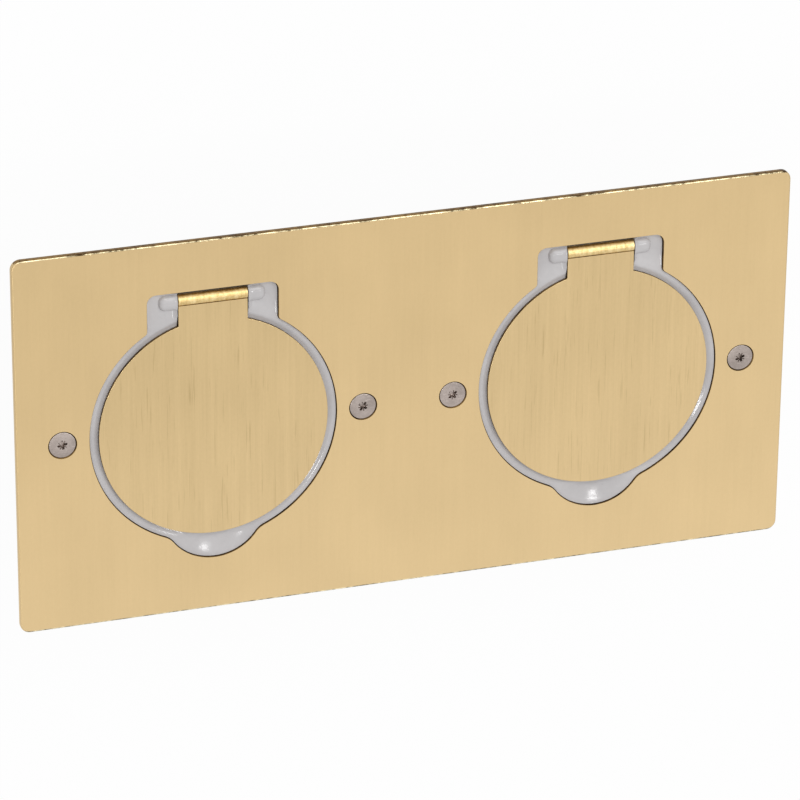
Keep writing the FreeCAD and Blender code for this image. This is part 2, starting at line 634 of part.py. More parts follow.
def make_cover_plate():
    body = new_body("cover_plate")
    block(body, "under_plate", "face", rounded("plate_length", "plate_width", "plate_corner"))
    for centre in gangs:
        for shape in opening(centre, "0"):
            sink(body, "under_plate", "face", shape)

    def own_centre(edge):
        return min((number(gang) for gang in gangs), key=lambda centre: reach(edge, centre))

    def recess_corner(edge):
        return upright(edge) and near(edge.Vertexes[0].Point.y, number("recess_reach"))

    def junction(edge, upper):
        on_circle = near(reach(edge, own_centre(edge)), number("opening_radius"))
        return upright(edge) and on_circle and (edge.Vertexes[0].Point.y > 0) == upper

    finish_edges(body, "Fillet", "recess_corner", recess_corner)
    finish_edges(body, "Fillet", "recess_blend", lambda edge: junction(edge, True))
    finish_edges(body, "Fillet", "scoop_blend", lambda edge: junction(edge, False))
    holes = [circle(side + place, "0", "screw_hole_radius")
             for place in ("inner_screw", "outer_screw") for side in ("", "-")]
    sink(body, "under_plate", "face", *holes)
    top, sunk_rim = number("face"), "screw_head_radius + screw_head_drop"
    finish_edges(body, "Chamfer", f"{sunk_rim} - screw_hole_radius",
                 lambda edge: at_level(edge, top) and is_round(edge, number("screw_hole_radius")))

    def on_outline(edge, inset):
        box = edge.BoundBox
        far_x, far_y = max(abs(box.XMin), abs(box.XMax)), max(abs(box.YMin), abs(box.YMax))
        beside_x = far_x > number(f"plate_length / 2 - {inset}") - closeness
        return at_level(edge, top) and (beside_x or far_y > number(f"plate_width / 2 - {inset}") - closeness)

    finish_edges(body, "Fillet", "plate_edge", lambda edge: on_outline(edge, "plate_corner"))
    finish_edges(body, "Chamfer", "rim_edge",
                 lambda edge: at_level(edge, top) and not on_outline(edge, "plate_corner")
                 and not is_round(edge, number(sunk_rim)))
    return body


def make_floor_gasket():
    body = new_body("floor_gasket")
    block(body, "box_depth", "under_plate",
          rounded("plate_length - 2 * gasket_inset", "plate_width - 2 * gasket_inset", "plate_corner"),
          rounded("tray_length + 2 * gasket_room", "tray_width + 2 * gasket_room",
                  "tray_corner + gasket_room"))
    return body


def make_mounting_plate():
    body = new_body("mounting_plate")
    block(body, "ledge_level", "support_top",
          rounded("inner_length - 2 * support_gap", "inner_width - 2 * support_gap", "support_corner"))
    for side in ("-", ""):
        gang = side + "gang_pitch / 2"
        sink(body, "ledge_level", "support_top", circle(gang, "0", "collar_radius + support_hole_gap"))
        sink(body, "ledge_level", "support_top",
             *(circle(f"{gang} {way} outlet_screw_offset", "0", "outlet_screw_radius + thread_gap")
               for way in "-+"))
        sink(body, "ledge_level", "support_top",
             *(circle(side + place, "0", "screw_hole_radius") for place in ("inner_screw", "outer_screw")))
    sink(body, "ledge_level", "support_top", circle("0", "bond_offset", "bond_radius + thread_gap"))
    sink(body, "ledge_level", "support_top",
         slab("-window_width / 2", "-window_end", "window_width / 2", "window_length - window_end"))
    finish_edges(body, "Fillet", "window_corner", lambda edge: upright(edge) and edge.Vertexes[0].Point.y < 0
                 and near(abs(edge.Vertexes[0].Point.x), number("window_width / 2")))
    return body


# ---- flap frame: the moulded ring, hinge ears and finger bowl round one flap


def make_flap_frame(side, name):
    body = new_body(f"{name}_flap_frame")
    for shape in opening("0", "(-flange_reach)"):
        block(body, "support_top", "under_plate", shape)
    block(body, "under_plate", "ring_level", circle("0", "0", "opening_radius - frame_gap"))
    sink(body, "land_level", "ring_level", circle("0", "0", "flap_radius + flap_gap"))
    top = number("ring_level")
    finish_edges(body, "Fillet", "ring_round",
                 lambda edge: at_level(edge, top) and is_round(edge, number("flap_radius + flap_gap")))
    inner, outer = "slot_half", "(recess_half - frame_gap)"
    for left, right in ((f"-{outer}", f"-{inner}"), (inner, outer)):
        block(body, "under_plate", "ear_level",
              outline((left, f"sqrt(ring_inside^2 - ({left})^2)"),
                      (right, f"sqrt(ring_inside^2 - ({right})^2)"),
                      (right, "recess_reach - frame_gap"), (left, "recess_reach - frame_gap")))

    def ear_corner(edge):
        point = edge.Vertexes[0].Point
        outer_side = near(abs(point.x), number("recess_half - frame_gap"))
        return upright(edge) and outer_side and near(point.y, number("recess_reach - frame_gap"))

    finish_edges(body, "Fillet", "recess_corner - frame_gap", ear_corner)
    boss = turn(body, "Revolution", "XY_Plane", "hinge_level", "Edge1",
                bullet("slot_half", "slot_half + boss_length", "hinge_offset", "knuckle_radius"))
    mirror_over(body, "YZ_Plane", [boss])
    block(body, "under_plate", "ring_level", crescent())
    turn(body, "Groove", "YZ_Plane", "0", "Edge4",
         dish("-bowl_centre", "bowl_radius", "bowl_depth", "ring_level", "bowl_depth"))
    sink(body, "slot_floor", "face + knuckle_radius",
         slab("-slot_half", "slot_start", "slot_half", "recess_reach - frame_gap"))
    sink(body, "land_level", "face + knuckle_radius", slab("-slot_half", "0", "slot_half", "slot_start"))
    sink(body, "support_top", "ring_level", circle("0", "0", "aperture_radius"))
    bore_across(body, "-pin_length / 2 - pin_seat_gap", "pin_length / 2 + pin_seat_gap",
                circle("hinge_offset", "hinge_level", "pin_radius + pin_seat_gap"))
    set_gang(body, side)
    return body


def crescent():
    """The finger scoop outside the ring: the scoop's arc, closed by an arc just inside the ring's edge."""
    def draw(sketch):
        inner, outer = number("ring_inside"), number("scoop_radius - frame_gap")
        drop = number("scoop_offset")
        y = -(inner ** 2 - outer ** 2 + drop ** 2) / (2 * drop)
        x = math.sqrt(inner ** 2 - y ** 2)
        ring_turn, scoop_turn = math.atan2(y, x), math.atan2(y + drop, x)
        ring = sketch.addGeometry(Part.ArcOfCircle(
            Part.Circle(Vector(), Vector(0, 0, 1), inner), -math.pi - ring_turn, ring_turn))
        scoop = sketch.addGeometry(Part.ArcOfCircle(
            Part.Circle(Vector(0, -drop, 0), Vector(0, 0, 1), outer), -math.pi - scoop_turn, scoop_turn))
        sketch.addConstraint(Sketcher.Constraint("Coincident", ring, 1, scoop, 1))
        sketch.addConstraint(Sketcher.Constraint("Coincident", ring, 2, scoop, 2))
        for arc, text in ((ring, "ring_inside"), (scoop, "scoop_radius - frame_gap")):
            held = sketch.addConstraint(Sketcher.Constraint("Radius", arc, number(text)))
            sketch.setExpression(f"Constraints[{held}]", formula(text))
        tie(sketch, ring, 3, "0", "0")
        tie(sketch, scoop, 3, "0", "-scoop_offset")
    return draw


def make_flap(side, name):
    body = new_body(f"{name}_flap")
    block(body, "flap_under", "face", circle("0", "0", "flap_radius"))
    top = number("face")
    finish_edges(body, "Fillet", "flap_edge", lambda edge: at_level(edge, top))
    block(body, "flap_under", "face", slab("-tab_width / 2", "0", "tab_width / 2", "hinge_offset"))
    extrude(body, "Pad", "YZ_Plane", "0", "tab_width",
            [circle("hinge_offset", "hinge_level", "knuckle_radius")], "Symmetric")
    extrude(body, "Pocket", "YZ_Plane", "0", "tab_width",
            [circle("hinge_offset", "hinge_level", "pin_radius + pin_running_gap")], "Symmetric")
    extrude(body, "Pocket", "YZ_Plane", "0", "tab_width",
            [slab("hinge_offset - knuckle_radius", "face", "hinge_offset - pin_radius", "face + seam_width")],
            "Symmetric")
    set_gang(body, side)
    return body


def make_hinge_pin(side, name):
    body = new_body(f"{name}_hinge_pin")
    extrude(body, "Pad", "YZ_Plane", "0", "pin_length",
            [circle("hinge_offset", "hinge_level", "pin_radius")], "Symmetric")
    finish_edges(body, "Chamfer", "pin_radius / 4", lambda edge: is_round(edge, number("pin_radius")))
    set_gang(body, side)
    return body


def make_flap_liner(side, name):
    body = new_body(f"{name}_flap_liner")
    spigot_level = "liner_under - spigot_depth"
    turn(body, "Revolution", "XZ_Plane", "0", "V_Axis",
         outline(("0", "flap_under"), ("liner_radius", "flap_under"), ("liner_radius", "liner_under"),
                 ("seal_outer", "liner_under"), ("seal_outer", "groove_level"),
                 ("seal_inner", "groove_level"), ("seal_inner", "liner_under"),
                 ("spigot_radius", "liner_under"), ("spigot_radius", spigot_level),
                 ("spigot_radius - spigot_wall", spigot_level),
                 ("spigot_radius - spigot_wall", "liner_under"), ("0", "liner_under")))
    half = "liner_rib / 2"
    rib = block(body, "liner_under - liner_rib_depth", "liner_under",
                slab("liner_rib", f"-{half}", "spigot_radius - spigot_wall / 2", half))
    copy_round(body, [rib], int(number("liner_ribs")))
    block(body, spigot_level, "liner_under", circle("0", "0", "liner_hub"))
    set_gang(body, side)
    return body


def make_flap_seal(side, name):
    body = new_body(f"{name}_flap_seal")
    lip_level = "land_level + seal_slack"
    turn(body, "Revolution", "XZ_Plane", "0", "V_Axis",
         outline(("seal_inner", "groove_level"), ("seal_outer", "groove_level"),
                 ("seal_outer", "liner_under"), ("seal_outer - seal_lip", lip_level),
                 ("seal_inner + seal_lip", lip_level), ("seal_inner", "liner_under")))
    set_gang(body, side)
    return body


# ---- outlet: front with the well, contact base, contacts, earth pin and shutter


def make_outlet_front(side, name):
    body = new_body(f"{name}_outlet_front")
    skirt_top = "joint_level + skirt_height"
    flange_under = "ledge_level - outlet_flange"
    turn(body, "Revolution", "XZ_Plane", "0", "V_Axis",
         outline(("0", "joint_level"), ("skirt_radius", "joint_level"), ("skirt_radius", skirt_top),
                 ("wall_radius", skirt_top + " + skirt_radius - wall_radius"),
                 ("wall_radius", flange_under), ("outlet_flange_radius", flange_under),
                 ("outlet_flange_radius", "ledge_level"), ("collar_radius", "ledge_level"),
                 ("collar_radius", "socket_front_level"),
                 ("well_radius + well_lead", "socket_front_level"),
                 ("well_radius", "socket_front_level - well_lead"),
                 ("well_radius", "well_level"), ("0", "well_level")))
    sink(body, "joint_level", "well_level",
         circle("pole_offset", "0", "pole_hole_radius"), circle("-pole_offset", "0", "pole_hole_radius"))
    floor = number("well_level")
    finish_edges(body, "Chamfer", "pole_lead",
                 lambda edge: at_level(edge, floor) and is_round(edge, number("pole_hole_radius")))
    sink(body, "joint_level", "well_level",
         circle("0", "earth_offset", "plug_pin_radius + earth_hole_gap"))
    sink(body, flange_under, "ledge_level",
         *(circle(way + "outlet_screw_offset", "0", "outlet_screw_hole") for way in ("-", "")))
    sink(body, "joint_level", "joint_level + base_screw_bite",
         circle("diagonal", "diagonal", "base_screw_radius + thread_gap"),
         circle("-diagonal", "-diagonal", "base_screw_radius + thread_gap"))
    set_gang(body, side)
    return body


def make_contact_base(side, name):
    body = new_body(f"{name}_contact_base")
    block(body, "base_bottom", "joint_level", circle("0", "0", "skirt_radius"))
    bottom = number("base_bottom")
    finish_edges(body, "Chamfer", "base_round", lambda edge: at_level(edge, bottom))
    half = "shutter_length / 2 + shutter_gap"
    sink(body, "cavity_level", "joint_level",
         slab(f"-({half})", "-cavity_rear", half, "shutter_width / 2 + shutter_gap"))
    channel = "spring_radius + spring_wire + spring_gap"
    sink(body, "cavity_level", "joint_level", slab(f"-({channel})", "-spring_end", channel, "0"))
    fork_half = "plug_pin_radius - fork_pinch + fork_wall + chamber_gap"
    block_half = "terminal_width / 2 + chamber_gap"
    chamber = sink(body, "contact_level", "joint_level",
                   slab("pole_offset - plug_pin_radius - fork_wall - chamber_gap", f"-({fork_half})",
                        "terminal_end", fork_half))
    terminal = sink(body, "contact_level", "joint_level",
                    slab("terminal_start - chamber_gap", f"-({block_half})",
                         "terminal_end + chamber_gap", block_half))
    tip = sink(body, "pin_tip_level - plug_pin_gap", "contact_level",
               circle("pole_offset", "0", "plug_pin_radius + plug_pin_gap"))
    wire = sink(body, "base_bottom", "contact_level", circle("wire_offset", "0", "wire_radius + chamber_gap"))
    access = bore_across(body, "terminal_end", "skirt_radius + chamber_gap",
                         circle("0", "clamp_level", "clamp_head_radius + clamp_gap"))
    mirror_over(body, "YZ_Plane", [chamber, terminal, tip, wire, access])
    sink(body, "contact_level", "joint_level",
         slab(f"-({block_half})", "terminal_start - chamber_gap", block_half, "terminal_end + chamber_gap"))
    sink(body, "contact_level", "joint_level",
         slab("-earth_collar - chamber_gap", "earth_offset - earth_collar - chamber_gap",
              "earth_collar + chamber_gap", "terminal_end"))
    sink(body, "base_bottom", "contact_level", circle("0", "wire_offset", "wire_radius + chamber_gap"))
    extrude(body, "Pocket", "XZ_Plane", "-terminal_end", "skirt_radius + chamber_gap - terminal_end",
            [circle("0", "clamp_level", "clamp_head_radius + clamp_gap")])
    for place in ("diagonal", "-diagonal"):
        sink(body, "base_bottom", "joint_level", circle(place, place, "base_screw_hole"))
        sink(body, "base_bottom", "base_bottom + base_head_height",
             circle(place, place, "base_head_radius + clamp_gap"))
    set_gang(body, side)
    return body


def clamp_block(body):
    """The terminal block at +X with its wire hole and threaded clamping hole."""
    block(body, "contact_level", "contact_level + terminal_height",
          slab("terminal_start", "-terminal_width / 2", "terminal_end", "terminal_width / 2"))
    sink(body, "contact_level", "contact_level + terminal_height", circle("wire_offset", "0", "wire_radius"))
    bore_across(body, "wire_offset", "terminal_end", circle("0", "clamp_level", "clamp_radius + thread_gap"))


def make_pole_contact(side, name, pole, turned):
    body = new_body(f"{name}_{pole}_contact")
    clamp_block(body)
    leaf_top = "contact_level + fork_height"
    ring = "plug_pin_radius - fork_pinch + fork_wall"
    block(body, "contact_level", leaf_top, slab("pole_offset", f"-({ring})", "terminal_start", ring))
    block(body, "contact_level", leaf_top, circle("pole_offset", "0", ring))
    sink(body, "contact_level", leaf_top, circle("pole_offset", "0", "plug_pin_radius - fork_pinch"))
    sink(body, "contact_level", leaf_top,
         slab(f"pole_offset - ({ring})", "-fork_slit / 2", "terminal_start - fork_wall", "fork_slit / 2"))
    crown, mouth = number(leaf_top), number("plug_pin_radius - fork_pinch")
    finish_edges(body, "Chamfer", "fork_wall / 2",
                 lambda edge: at_level(edge, crown) and is_round(edge, mouth))
    set_gang(body, side, turned)
    return body


def make_earth_terminal(side, name):
    body = new_body(f"{name}_earth_terminal")
    clamp_block(body)
    block(body, "contact_level", "strap_top",
          slab("terminal_start", "-earth_collar", "terminal_start + strap_thickness", "earth_collar"))
    block(body, "strap_under", "strap_top",
          slab("earth_offset", "-earth_collar", "terminal_start + strap_thickness", "earth_collar"))
    block(body, "strap_under", "strap_top", circle("earth_offset", "0", "earth_collar"))
    sink(body, "strap_under", "strap_top", circle("earth_offset", "0", "earth_tail + thread_gap"))
    set_gang(body, side, 90)
    return body


def make_earth_pin(side, name):
    body = new_body(f"{name}_earth_pin")
    tip = "socket_front_level - earth_drop"
    turn(body, "Revolution", "XZ_Plane", "-earth_offset", "V_Axis",
         outline(("0", "strap_under - rivet_length"), ("earth_tail", "strap_under - rivet_length"),
                 ("earth_tail", "strap_top"), ("earth_collar", "strap_top"),
                 ("earth_collar", "joint_level"), ("plug_pin_radius", "joint_level"),
                 ("plug_pin_radius", tip), ("0", tip)))
    crown = number(tip)
    finish_edges(body, "Fillet", "earth_crown", lambda edge: at_level(edge, crown))
    set_gang(body, side)
    return body


def make_shutter(side, name):
    body = new_body(f"{name}_shutter")
    top = "shutter_level + shutter_thickness"
    block(body, "shutter_level", top, centred("shutter_length", "shutter_width"))
    crown, front = number(top), number("shutter_width / 2")
    finish_edges(body, "Chamfer", "shutter_ramp",
                 lambda edge: at_level(edge, crown) and near(edge.BoundBox.YMin, front))
    waist = "pole_offset - pole_hole_radius - 1.5 * shutter_waist"
    sink(body, "shutter_level", top,
         slab(f"-({waist})", "shutter_width / 2 - 2 * shutter_waist", waist, "shutter_width / 2"))
    extrude(body, "Pad", "XZ_Plane", "shutter_width / 2", "peg_length",
            [circle("0", "shutter_level + shutter_thickness / 2", "peg_radius")])
    set_gang(body, side)
    return body


def group(label, shapes):
    """Several separate solids of the same kind under one label."""
    piece = doc.addObject("Part::Feature", label)
    piece.Label = label
    piece.Shape = Part.makeCompound(shapes)
    return piece


def turned_solid(points):
    """A solid turned about Z from (radius, height) points, each an expression or a number."""
    def value(entry):
        return number(entry) if isinstance(entry, str) else entry
    corners = [Vector(value(radius), 0, value(height)) for radius, height in points]
    return Part.Face(Part.makePolygon(corners + corners[:1])).revolve(Vector(), Vector(0, 0, 1), 360)


def cross_recess(reach_out, width, top, depth):
    bar = Part.makeBox(2 * reach_out, width, depth, Vector(-reach_out, -width / 2, top - depth))
    other = bar.copy()
    other.rotate(Vector(), Vector(0, 0, 1), 90)
    return bar.fuse(other)


def placed(shape, x, y, z=0.0, turned=0.0):
    copy = shape.copy()
    copy.rotate(Vector(), Vector(0, 0, 1), turned)
    copy.translate(Vector(x, y, z))
    return copy


def make_shutter_spring(side, name):
    coil_length = number("spring_length - 2 * spring_wire")
    helix = Part.makeHelix(coil_length / number("spring_turns"), coil_length, number("spring_radius"))
    wire_circle = Part.Circle(Vector(number("spring_radius"), 0, 0), Vector(0, 1, 0), number("spring_wire"))
    coil = Part.Wire(helix).makePipeShell([Part.Wire(wire_circle.toShape())], True, True)
    coil.rotate(Vector(), Vector(1, 0, 0), 90)
    coil.translate(Vector(0, -number("shutter_width / 2 + spring_gap + spring_wire"),
                          number("shutter_level + shutter_thickness / 2")))
    piece = group(f"{name}_shutter_spring", [coil])
    set_gang(piece, side)
    return piece


# ---- fasteners


def make_cover_screws():
    top = number("head_top")
    tip = top - number("screw_length")
    point = number("screw_radius") / 2
    body = turned_solid((
        (0, top), ("screw_head_radius", top), ("screw_radius", top - number("head_depth")),
        ("screw_radius", tip + point), ("screw_radius / 2", tip), (0, tip)))
    screw = body.cut(cross_recess(number("screw_radius"), number("cross_width"), top, number("cross_depth")))
    turns = {"-outer_screw": 12, "-inner_screw": 55, "inner_screw": 38, "outer_screw": 20}
    return group("cover_screws", [placed(screw, number(place), 0, 0, turned)
                                  for place, turned in turns.items()])


def make_screw_inserts():
    top, bottom = number("ledge_level"), number("ledge_level - insert_length")
    bore, outside = number("screw_radius + thread_gap"), number("insert_radius")
    waist, step = outside - number("insert_groove"), (top - bottom) / 5
    sleeve = turned_solid((
        (bore, top), (outside, top), (outside, top - 2 * step), (waist, top - 2 * step),
        (waist, bottom + 2 * step), (outside, bottom + 2 * step), (outside, bottom), (bore, bottom)))
    return group("screw_inserts", [placed(sleeve, number(side + place), 0)
                                   for place in ("inner_screw", "outer_screw") for side in ("-", "")])


def pan_screw(radius, length, head_radius, head_height):
    """A screw that points up from z = 0 with a slotted pan head below."""
    bevel, point = head_height / 3, radius / 3
    solid = turned_solid((
        (0, length), (radius - point, length), (radius, length - point), (radius, 0),
        (head_radius, 0), (head_radius, bevel - head_height), (head_radius - bevel, -head_height),
        (0, -head_height)))
    slot = number("slot_width")
    return solid.cut(Part.makeBox(2 * head_radius, slot, head_height / 2,
                                  Vector(-head_radius, -slot / 2, -head_height)))


def make_outlet_screws():
    level = number("ledge_level - outlet_flange")
    screw = pan_screw(number("outlet_screw_radius"), number("outlet_flange + support_thickness"),
                      number("pan_radius"), number("pan_height"))
    return group("outlet_screws", [
        placed(screw, number(f"{gang} {way} outlet_screw_offset"), 0, level, number("slot_turn"))
        for gang in gangs for way in "-+"])


def make_base_screws(side, name):
    level = number("base_bottom + base_head_height")
    screw = pan_screw(number("base_screw_radius"), number("joint_level + base_screw_bite") - level,
                      number("base_head_radius"), number("base_head_height"))
    offset = number("diagonal")
    piece = group(f"{name}_base_screws", [
        placed(screw, way * offset, way * offset, level, way * number("slot_turn")) for way in (-1, 1)])
    set_gang(piece, side)
    return piece


def make_terminal_screws(side, name):
    length = number("terminal_end - wire_offset - wire_radius")
    screw = pan_screw(number("clamp_radius"), length, number("clamp_head_radius"), number("clamp_head"))
    screw.rotate(Vector(), Vector(0, 0, 1), number("slot_turn"))
    screw.rotate(Vector(), Vector(0, 1, 0), -90)
    screw.translate(Vector(number("terminal_end"), 0, number("clamp_level")))
    piece = group(f"{name}_terminal_screws", [placed(screw, 0, 0, 0, turned) for turned in (0, 90, 180)])
    set_gang(piece, side)
    return piece


def make_bonding_screw():
    under = number("ledge_level")
    washer_under = under - number("bond_washer")
    screw = pan_screw(number("bond_radius"), number("support_top") - washer_under,
                      number("bond_head_radius"), number("bond_head"))
    return group("bonding_screw", [placed(screw, 0, number("bond_offset"), washer_under)])


def make_bonding_washer():
    body = new_body("bonding_washer")
    under = "ledge_level - bond_washer"
    block(body, under, "ledge_level", circle("0", "bond_offset", "bond_washer_radius"))
    sink(body, under, "ledge_level", circle("0", "bond_offset", "bond_radius + thread_gap"))
    return body


# ---- flush box


def make_flush_box():
    body = new_body("flush_box")
    block(body, "tray_bottom", "box_depth", rounded("tray_length", "tray_width", "tray_corner"))
    under = number("tray_bottom")
    finish_edges(body, "Fillet", "tray_wall", lambda edge: at_level(edge, under))
    for gang in gangs:
        block(body, "0", "tray_floor", circle(gang, "0", "pot_radius"))
    finish_edges(body, "Fillet", "pot_round", lambda edge: at_level(edge, 0))
    add_outside(body)
    hollow_out(body)
    return body


def add_outside(body):
    """The duct between the pots, the conduit necks, the screw bosses and the ribs that hold them."""
    block(body, "duct_bottom", "tray_floor",
          slab("-duct_end", "-duct_width / 2", "duct_end", "duct_width / 2"))
    for gang in gangs:
        extrude(body, "Pad", "XZ_Plane", "inside_pot", "neck_reach - inside_pot",
                [circle(gang, "conduit_level", "conduit_radius + conduit_wall")])
    for place in ("inner_screw", "outer_screw"):
        for sign in ("-", ""):
            block(body, "boss_bottom", "ledge_level", circle(sign + place, "0", "boss_radius"))
    for sign, gang in ((-1, gangs[0]), (1, gangs[1])):
        rib(body, gang, f"{sign}", "0", "boss_bottom", "screw_reach")
        for way in (-1, 1):
            rib(body, gang, f"{sign} * cos(rib_angle)", f"{way} * sin(rib_angle)",
                "tray_bottom - rib_drop", "pot_radius + rib_reach")


def rib(body, gang, across, along, low, reach_out):
    """A thin upright wall from the pot's wall outwards in the direction (across, along)."""
    start, half = "(pot_radius - pot_wall / 2)", "rib_thickness / 2"
    corners = [(f"{gang} + ({run}) * ({across}) {one} {half} * ({along})",
                f"({run}) * ({along}) {other} {half} * ({across})")
               for run, one, other in ((start, "+", "-"), (reach_out, "+", "-"),
                                       (reach_out, "-", "+"), (start, "-", "+"))]
    block(body, low, "tray_floor", outline(*corners))


def hollow_out(body):
    """The seat of the mounting plate, the tray, the pots, the duct with its window, the bores."""
    seat_corner = "tray_corner - tray_wall"
    sink(body, "ledge_level", "box_depth", rounded("inner_length", "inner_width", seat_corner))
    sink(body, "tray_floor", "ledge_level",
         rounded("inner_length - 2 * ledge_width", "inner_width - 2 * ledge_width", seat_corner))
    for place in ("inner_screw", "outer_screw"):
        for sign in ("-", ""):
            block(body, "tray_floor", "ledge_level", circle(sign + place, "0", "boss_radius"))
    for gang in gangs:
        turn(body, "Groove", "XZ_Plane", "0", "Edge1",
             cup(gang, "pot_radius - pot_wall", "pot_floor", "box_depth", "pot_round - pot_floor"))
    side_wall, beside = "(duct_width / 2 - duct_wall)", "(boss_radius + duct_wall / 2)"
    sink(body, "duct_bottom + duct_wall", "boss_bottom",
         slab("-duct_end", f"-{side_wall}", "duct_end", side_wall))
    sink(body, "boss_bottom", "tray_bottom",
         slab("-duct_end", f"-{side_wall}", "duct_end", f"-{beside}"),
         slab("-duct_end", beside, "duct_end", side_wall))
    sink(body, "boss_bottom", "tray_floor",
         slab("-window_width / 2", f"-{side_wall}", "window_width / 2", side_wall))
    for gang in gangs:
        bore_along(body, "neck_reach", "conduit_seat", circle(gang, "conduit_level", "conduit_radius"))
        bore_along(body, "neck_reach", "neck_reach - inside_pot + pot_wall",
                   circle(gang, "conduit_level", "conduit_radius - conduit_stop"))
        sink(body, "0", "score_depth", circle(gang, "0", "knockout_radius"),
             circle(gang, "0", "knockout_radius - knockout_score"))
    for place in ("inner_screw", "outer_screw"):
        for sign in ("-", ""):
            sink(body, "ledge_level - insert_length - boss_gap", "ledge_level",
                 circle(sign + place, "0", "insert_radius"))
            sink(body, "head_top - screw_length - boss_gap", "ledge_level - insert_length",
                 circle(sign + place, "0", "screw_hole_radius"))


# ---- build, check and write


pieces = [
    make_cover_plate(), make_floor_gasket(), make_mounting_plate(), make_flush_box(),
    make_cover_screws(), make_screw_inserts(), make_outlet_screws(),
    make_bonding_screw(), make_bonding_washer(),
]
for side, name in ((-1, "left"), (1, "right")):
    pieces += [
        make_flap_frame(side, name), make_flap(side, name), make_hinge_pin(side, name),
        make_flap_liner(side, name), make_flap_seal(side, name),
        make_outlet_front(side, name), make_contact_base(side, name),
        make_pole_contact(side, name, "live", 180), make_pole_contact(side, name, "neutral", 0),
        make_earth_pin(side, name), make_earth_terminal(side, name),
        make_terminal_screws(side, name), make_base_screws(side, name),
        make_shutter(side, name), make_shutter_spring(side, name),
    ]

doc.recompute()
failed = [item.Label for item in doc.Objects if {"Invalid", "Error"} & set(item.State)]
assert not failed, f"failed objects: {failed}"
os.makedirs("parts", exist_ok=True)
for piece in pieces:
    assert not piece.Shape.isNull() and piece.Shape.isValid(), "bad shape: " + piece.Label
    piece.Shape.exportStep(f"parts/{piece.Label}.step")
    print(f"{piece.Label}: {len(piece.Shape.Solids)} solid(s), {piece.Shape.Volume:.1f} mm3")
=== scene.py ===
import json
import math
import bmesh
import bpy
import numpy as np
from mathutils import Matrix, Vector
from mathutils.geometry import delaunay_2d_cdt


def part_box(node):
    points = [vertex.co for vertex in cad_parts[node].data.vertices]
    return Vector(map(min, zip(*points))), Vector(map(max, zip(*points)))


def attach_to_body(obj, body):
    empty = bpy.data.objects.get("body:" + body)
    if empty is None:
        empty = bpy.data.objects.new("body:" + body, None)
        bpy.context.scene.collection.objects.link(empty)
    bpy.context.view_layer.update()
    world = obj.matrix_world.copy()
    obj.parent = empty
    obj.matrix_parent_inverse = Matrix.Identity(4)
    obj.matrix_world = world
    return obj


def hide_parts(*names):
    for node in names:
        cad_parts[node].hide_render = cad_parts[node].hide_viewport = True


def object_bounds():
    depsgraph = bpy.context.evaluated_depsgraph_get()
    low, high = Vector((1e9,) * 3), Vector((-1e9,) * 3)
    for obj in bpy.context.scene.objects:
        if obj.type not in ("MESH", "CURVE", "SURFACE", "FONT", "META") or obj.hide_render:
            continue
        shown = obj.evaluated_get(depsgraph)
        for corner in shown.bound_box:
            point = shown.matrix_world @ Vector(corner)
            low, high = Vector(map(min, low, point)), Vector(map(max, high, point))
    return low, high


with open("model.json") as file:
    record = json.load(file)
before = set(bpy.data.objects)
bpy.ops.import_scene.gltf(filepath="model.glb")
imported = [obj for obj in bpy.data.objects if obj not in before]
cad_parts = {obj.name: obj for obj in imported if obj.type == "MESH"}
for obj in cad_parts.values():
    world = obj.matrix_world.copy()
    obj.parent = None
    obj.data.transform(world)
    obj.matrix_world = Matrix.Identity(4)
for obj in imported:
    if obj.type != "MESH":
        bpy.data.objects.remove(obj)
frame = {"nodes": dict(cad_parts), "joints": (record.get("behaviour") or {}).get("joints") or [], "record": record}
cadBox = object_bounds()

# shapes are drawn in millimetres round a gang's centre, with the cover's face at height 0
mm = 0.001
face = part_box("cover_plate")[1].z / mm
hinges = [joint for joint in frame["joints"] if joint["type"] == "hinge"]
gangs = {hinge["name"].split("_")[0]: hinge["pos_m"][0] / mm for hinge in hinges}
print("frame loaded, gangs at", gangs)


def attach(inlet, value):
    if isinstance(value, Signal):
        inlet.id_data.links.new(value.socket, inlet)
    else:
        inlet.default_value = value


def maths(operation, *values):
    tree = next(value.socket.id_data for value in values if isinstance(value, Signal))
    node = tree.nodes.new("ShaderNodeMath")
    node.operation = operation
    for inlet, value in zip(node.inputs, values):
        attach(inlet, value)
    return Signal(node.outputs[0])


class Signal:
    # an output socket that can be added, subtracted and scaled
    def __init__(self, socket):
        self.socket = socket

    def __add__(self, other):
        return maths("ADD", self, other)

    def __radd__(self, other):
        return maths("ADD", other, self)

    def __sub__(self, other):
        return maths("SUBTRACT", self, other)

    def __rsub__(self, other):
        return maths("SUBTRACT", other, self)

    def __mul__(self, other):
        return maths("MULTIPLY", self, other)

    def __rmul__(self, other):
        return maths("MULTIPLY", other, self)


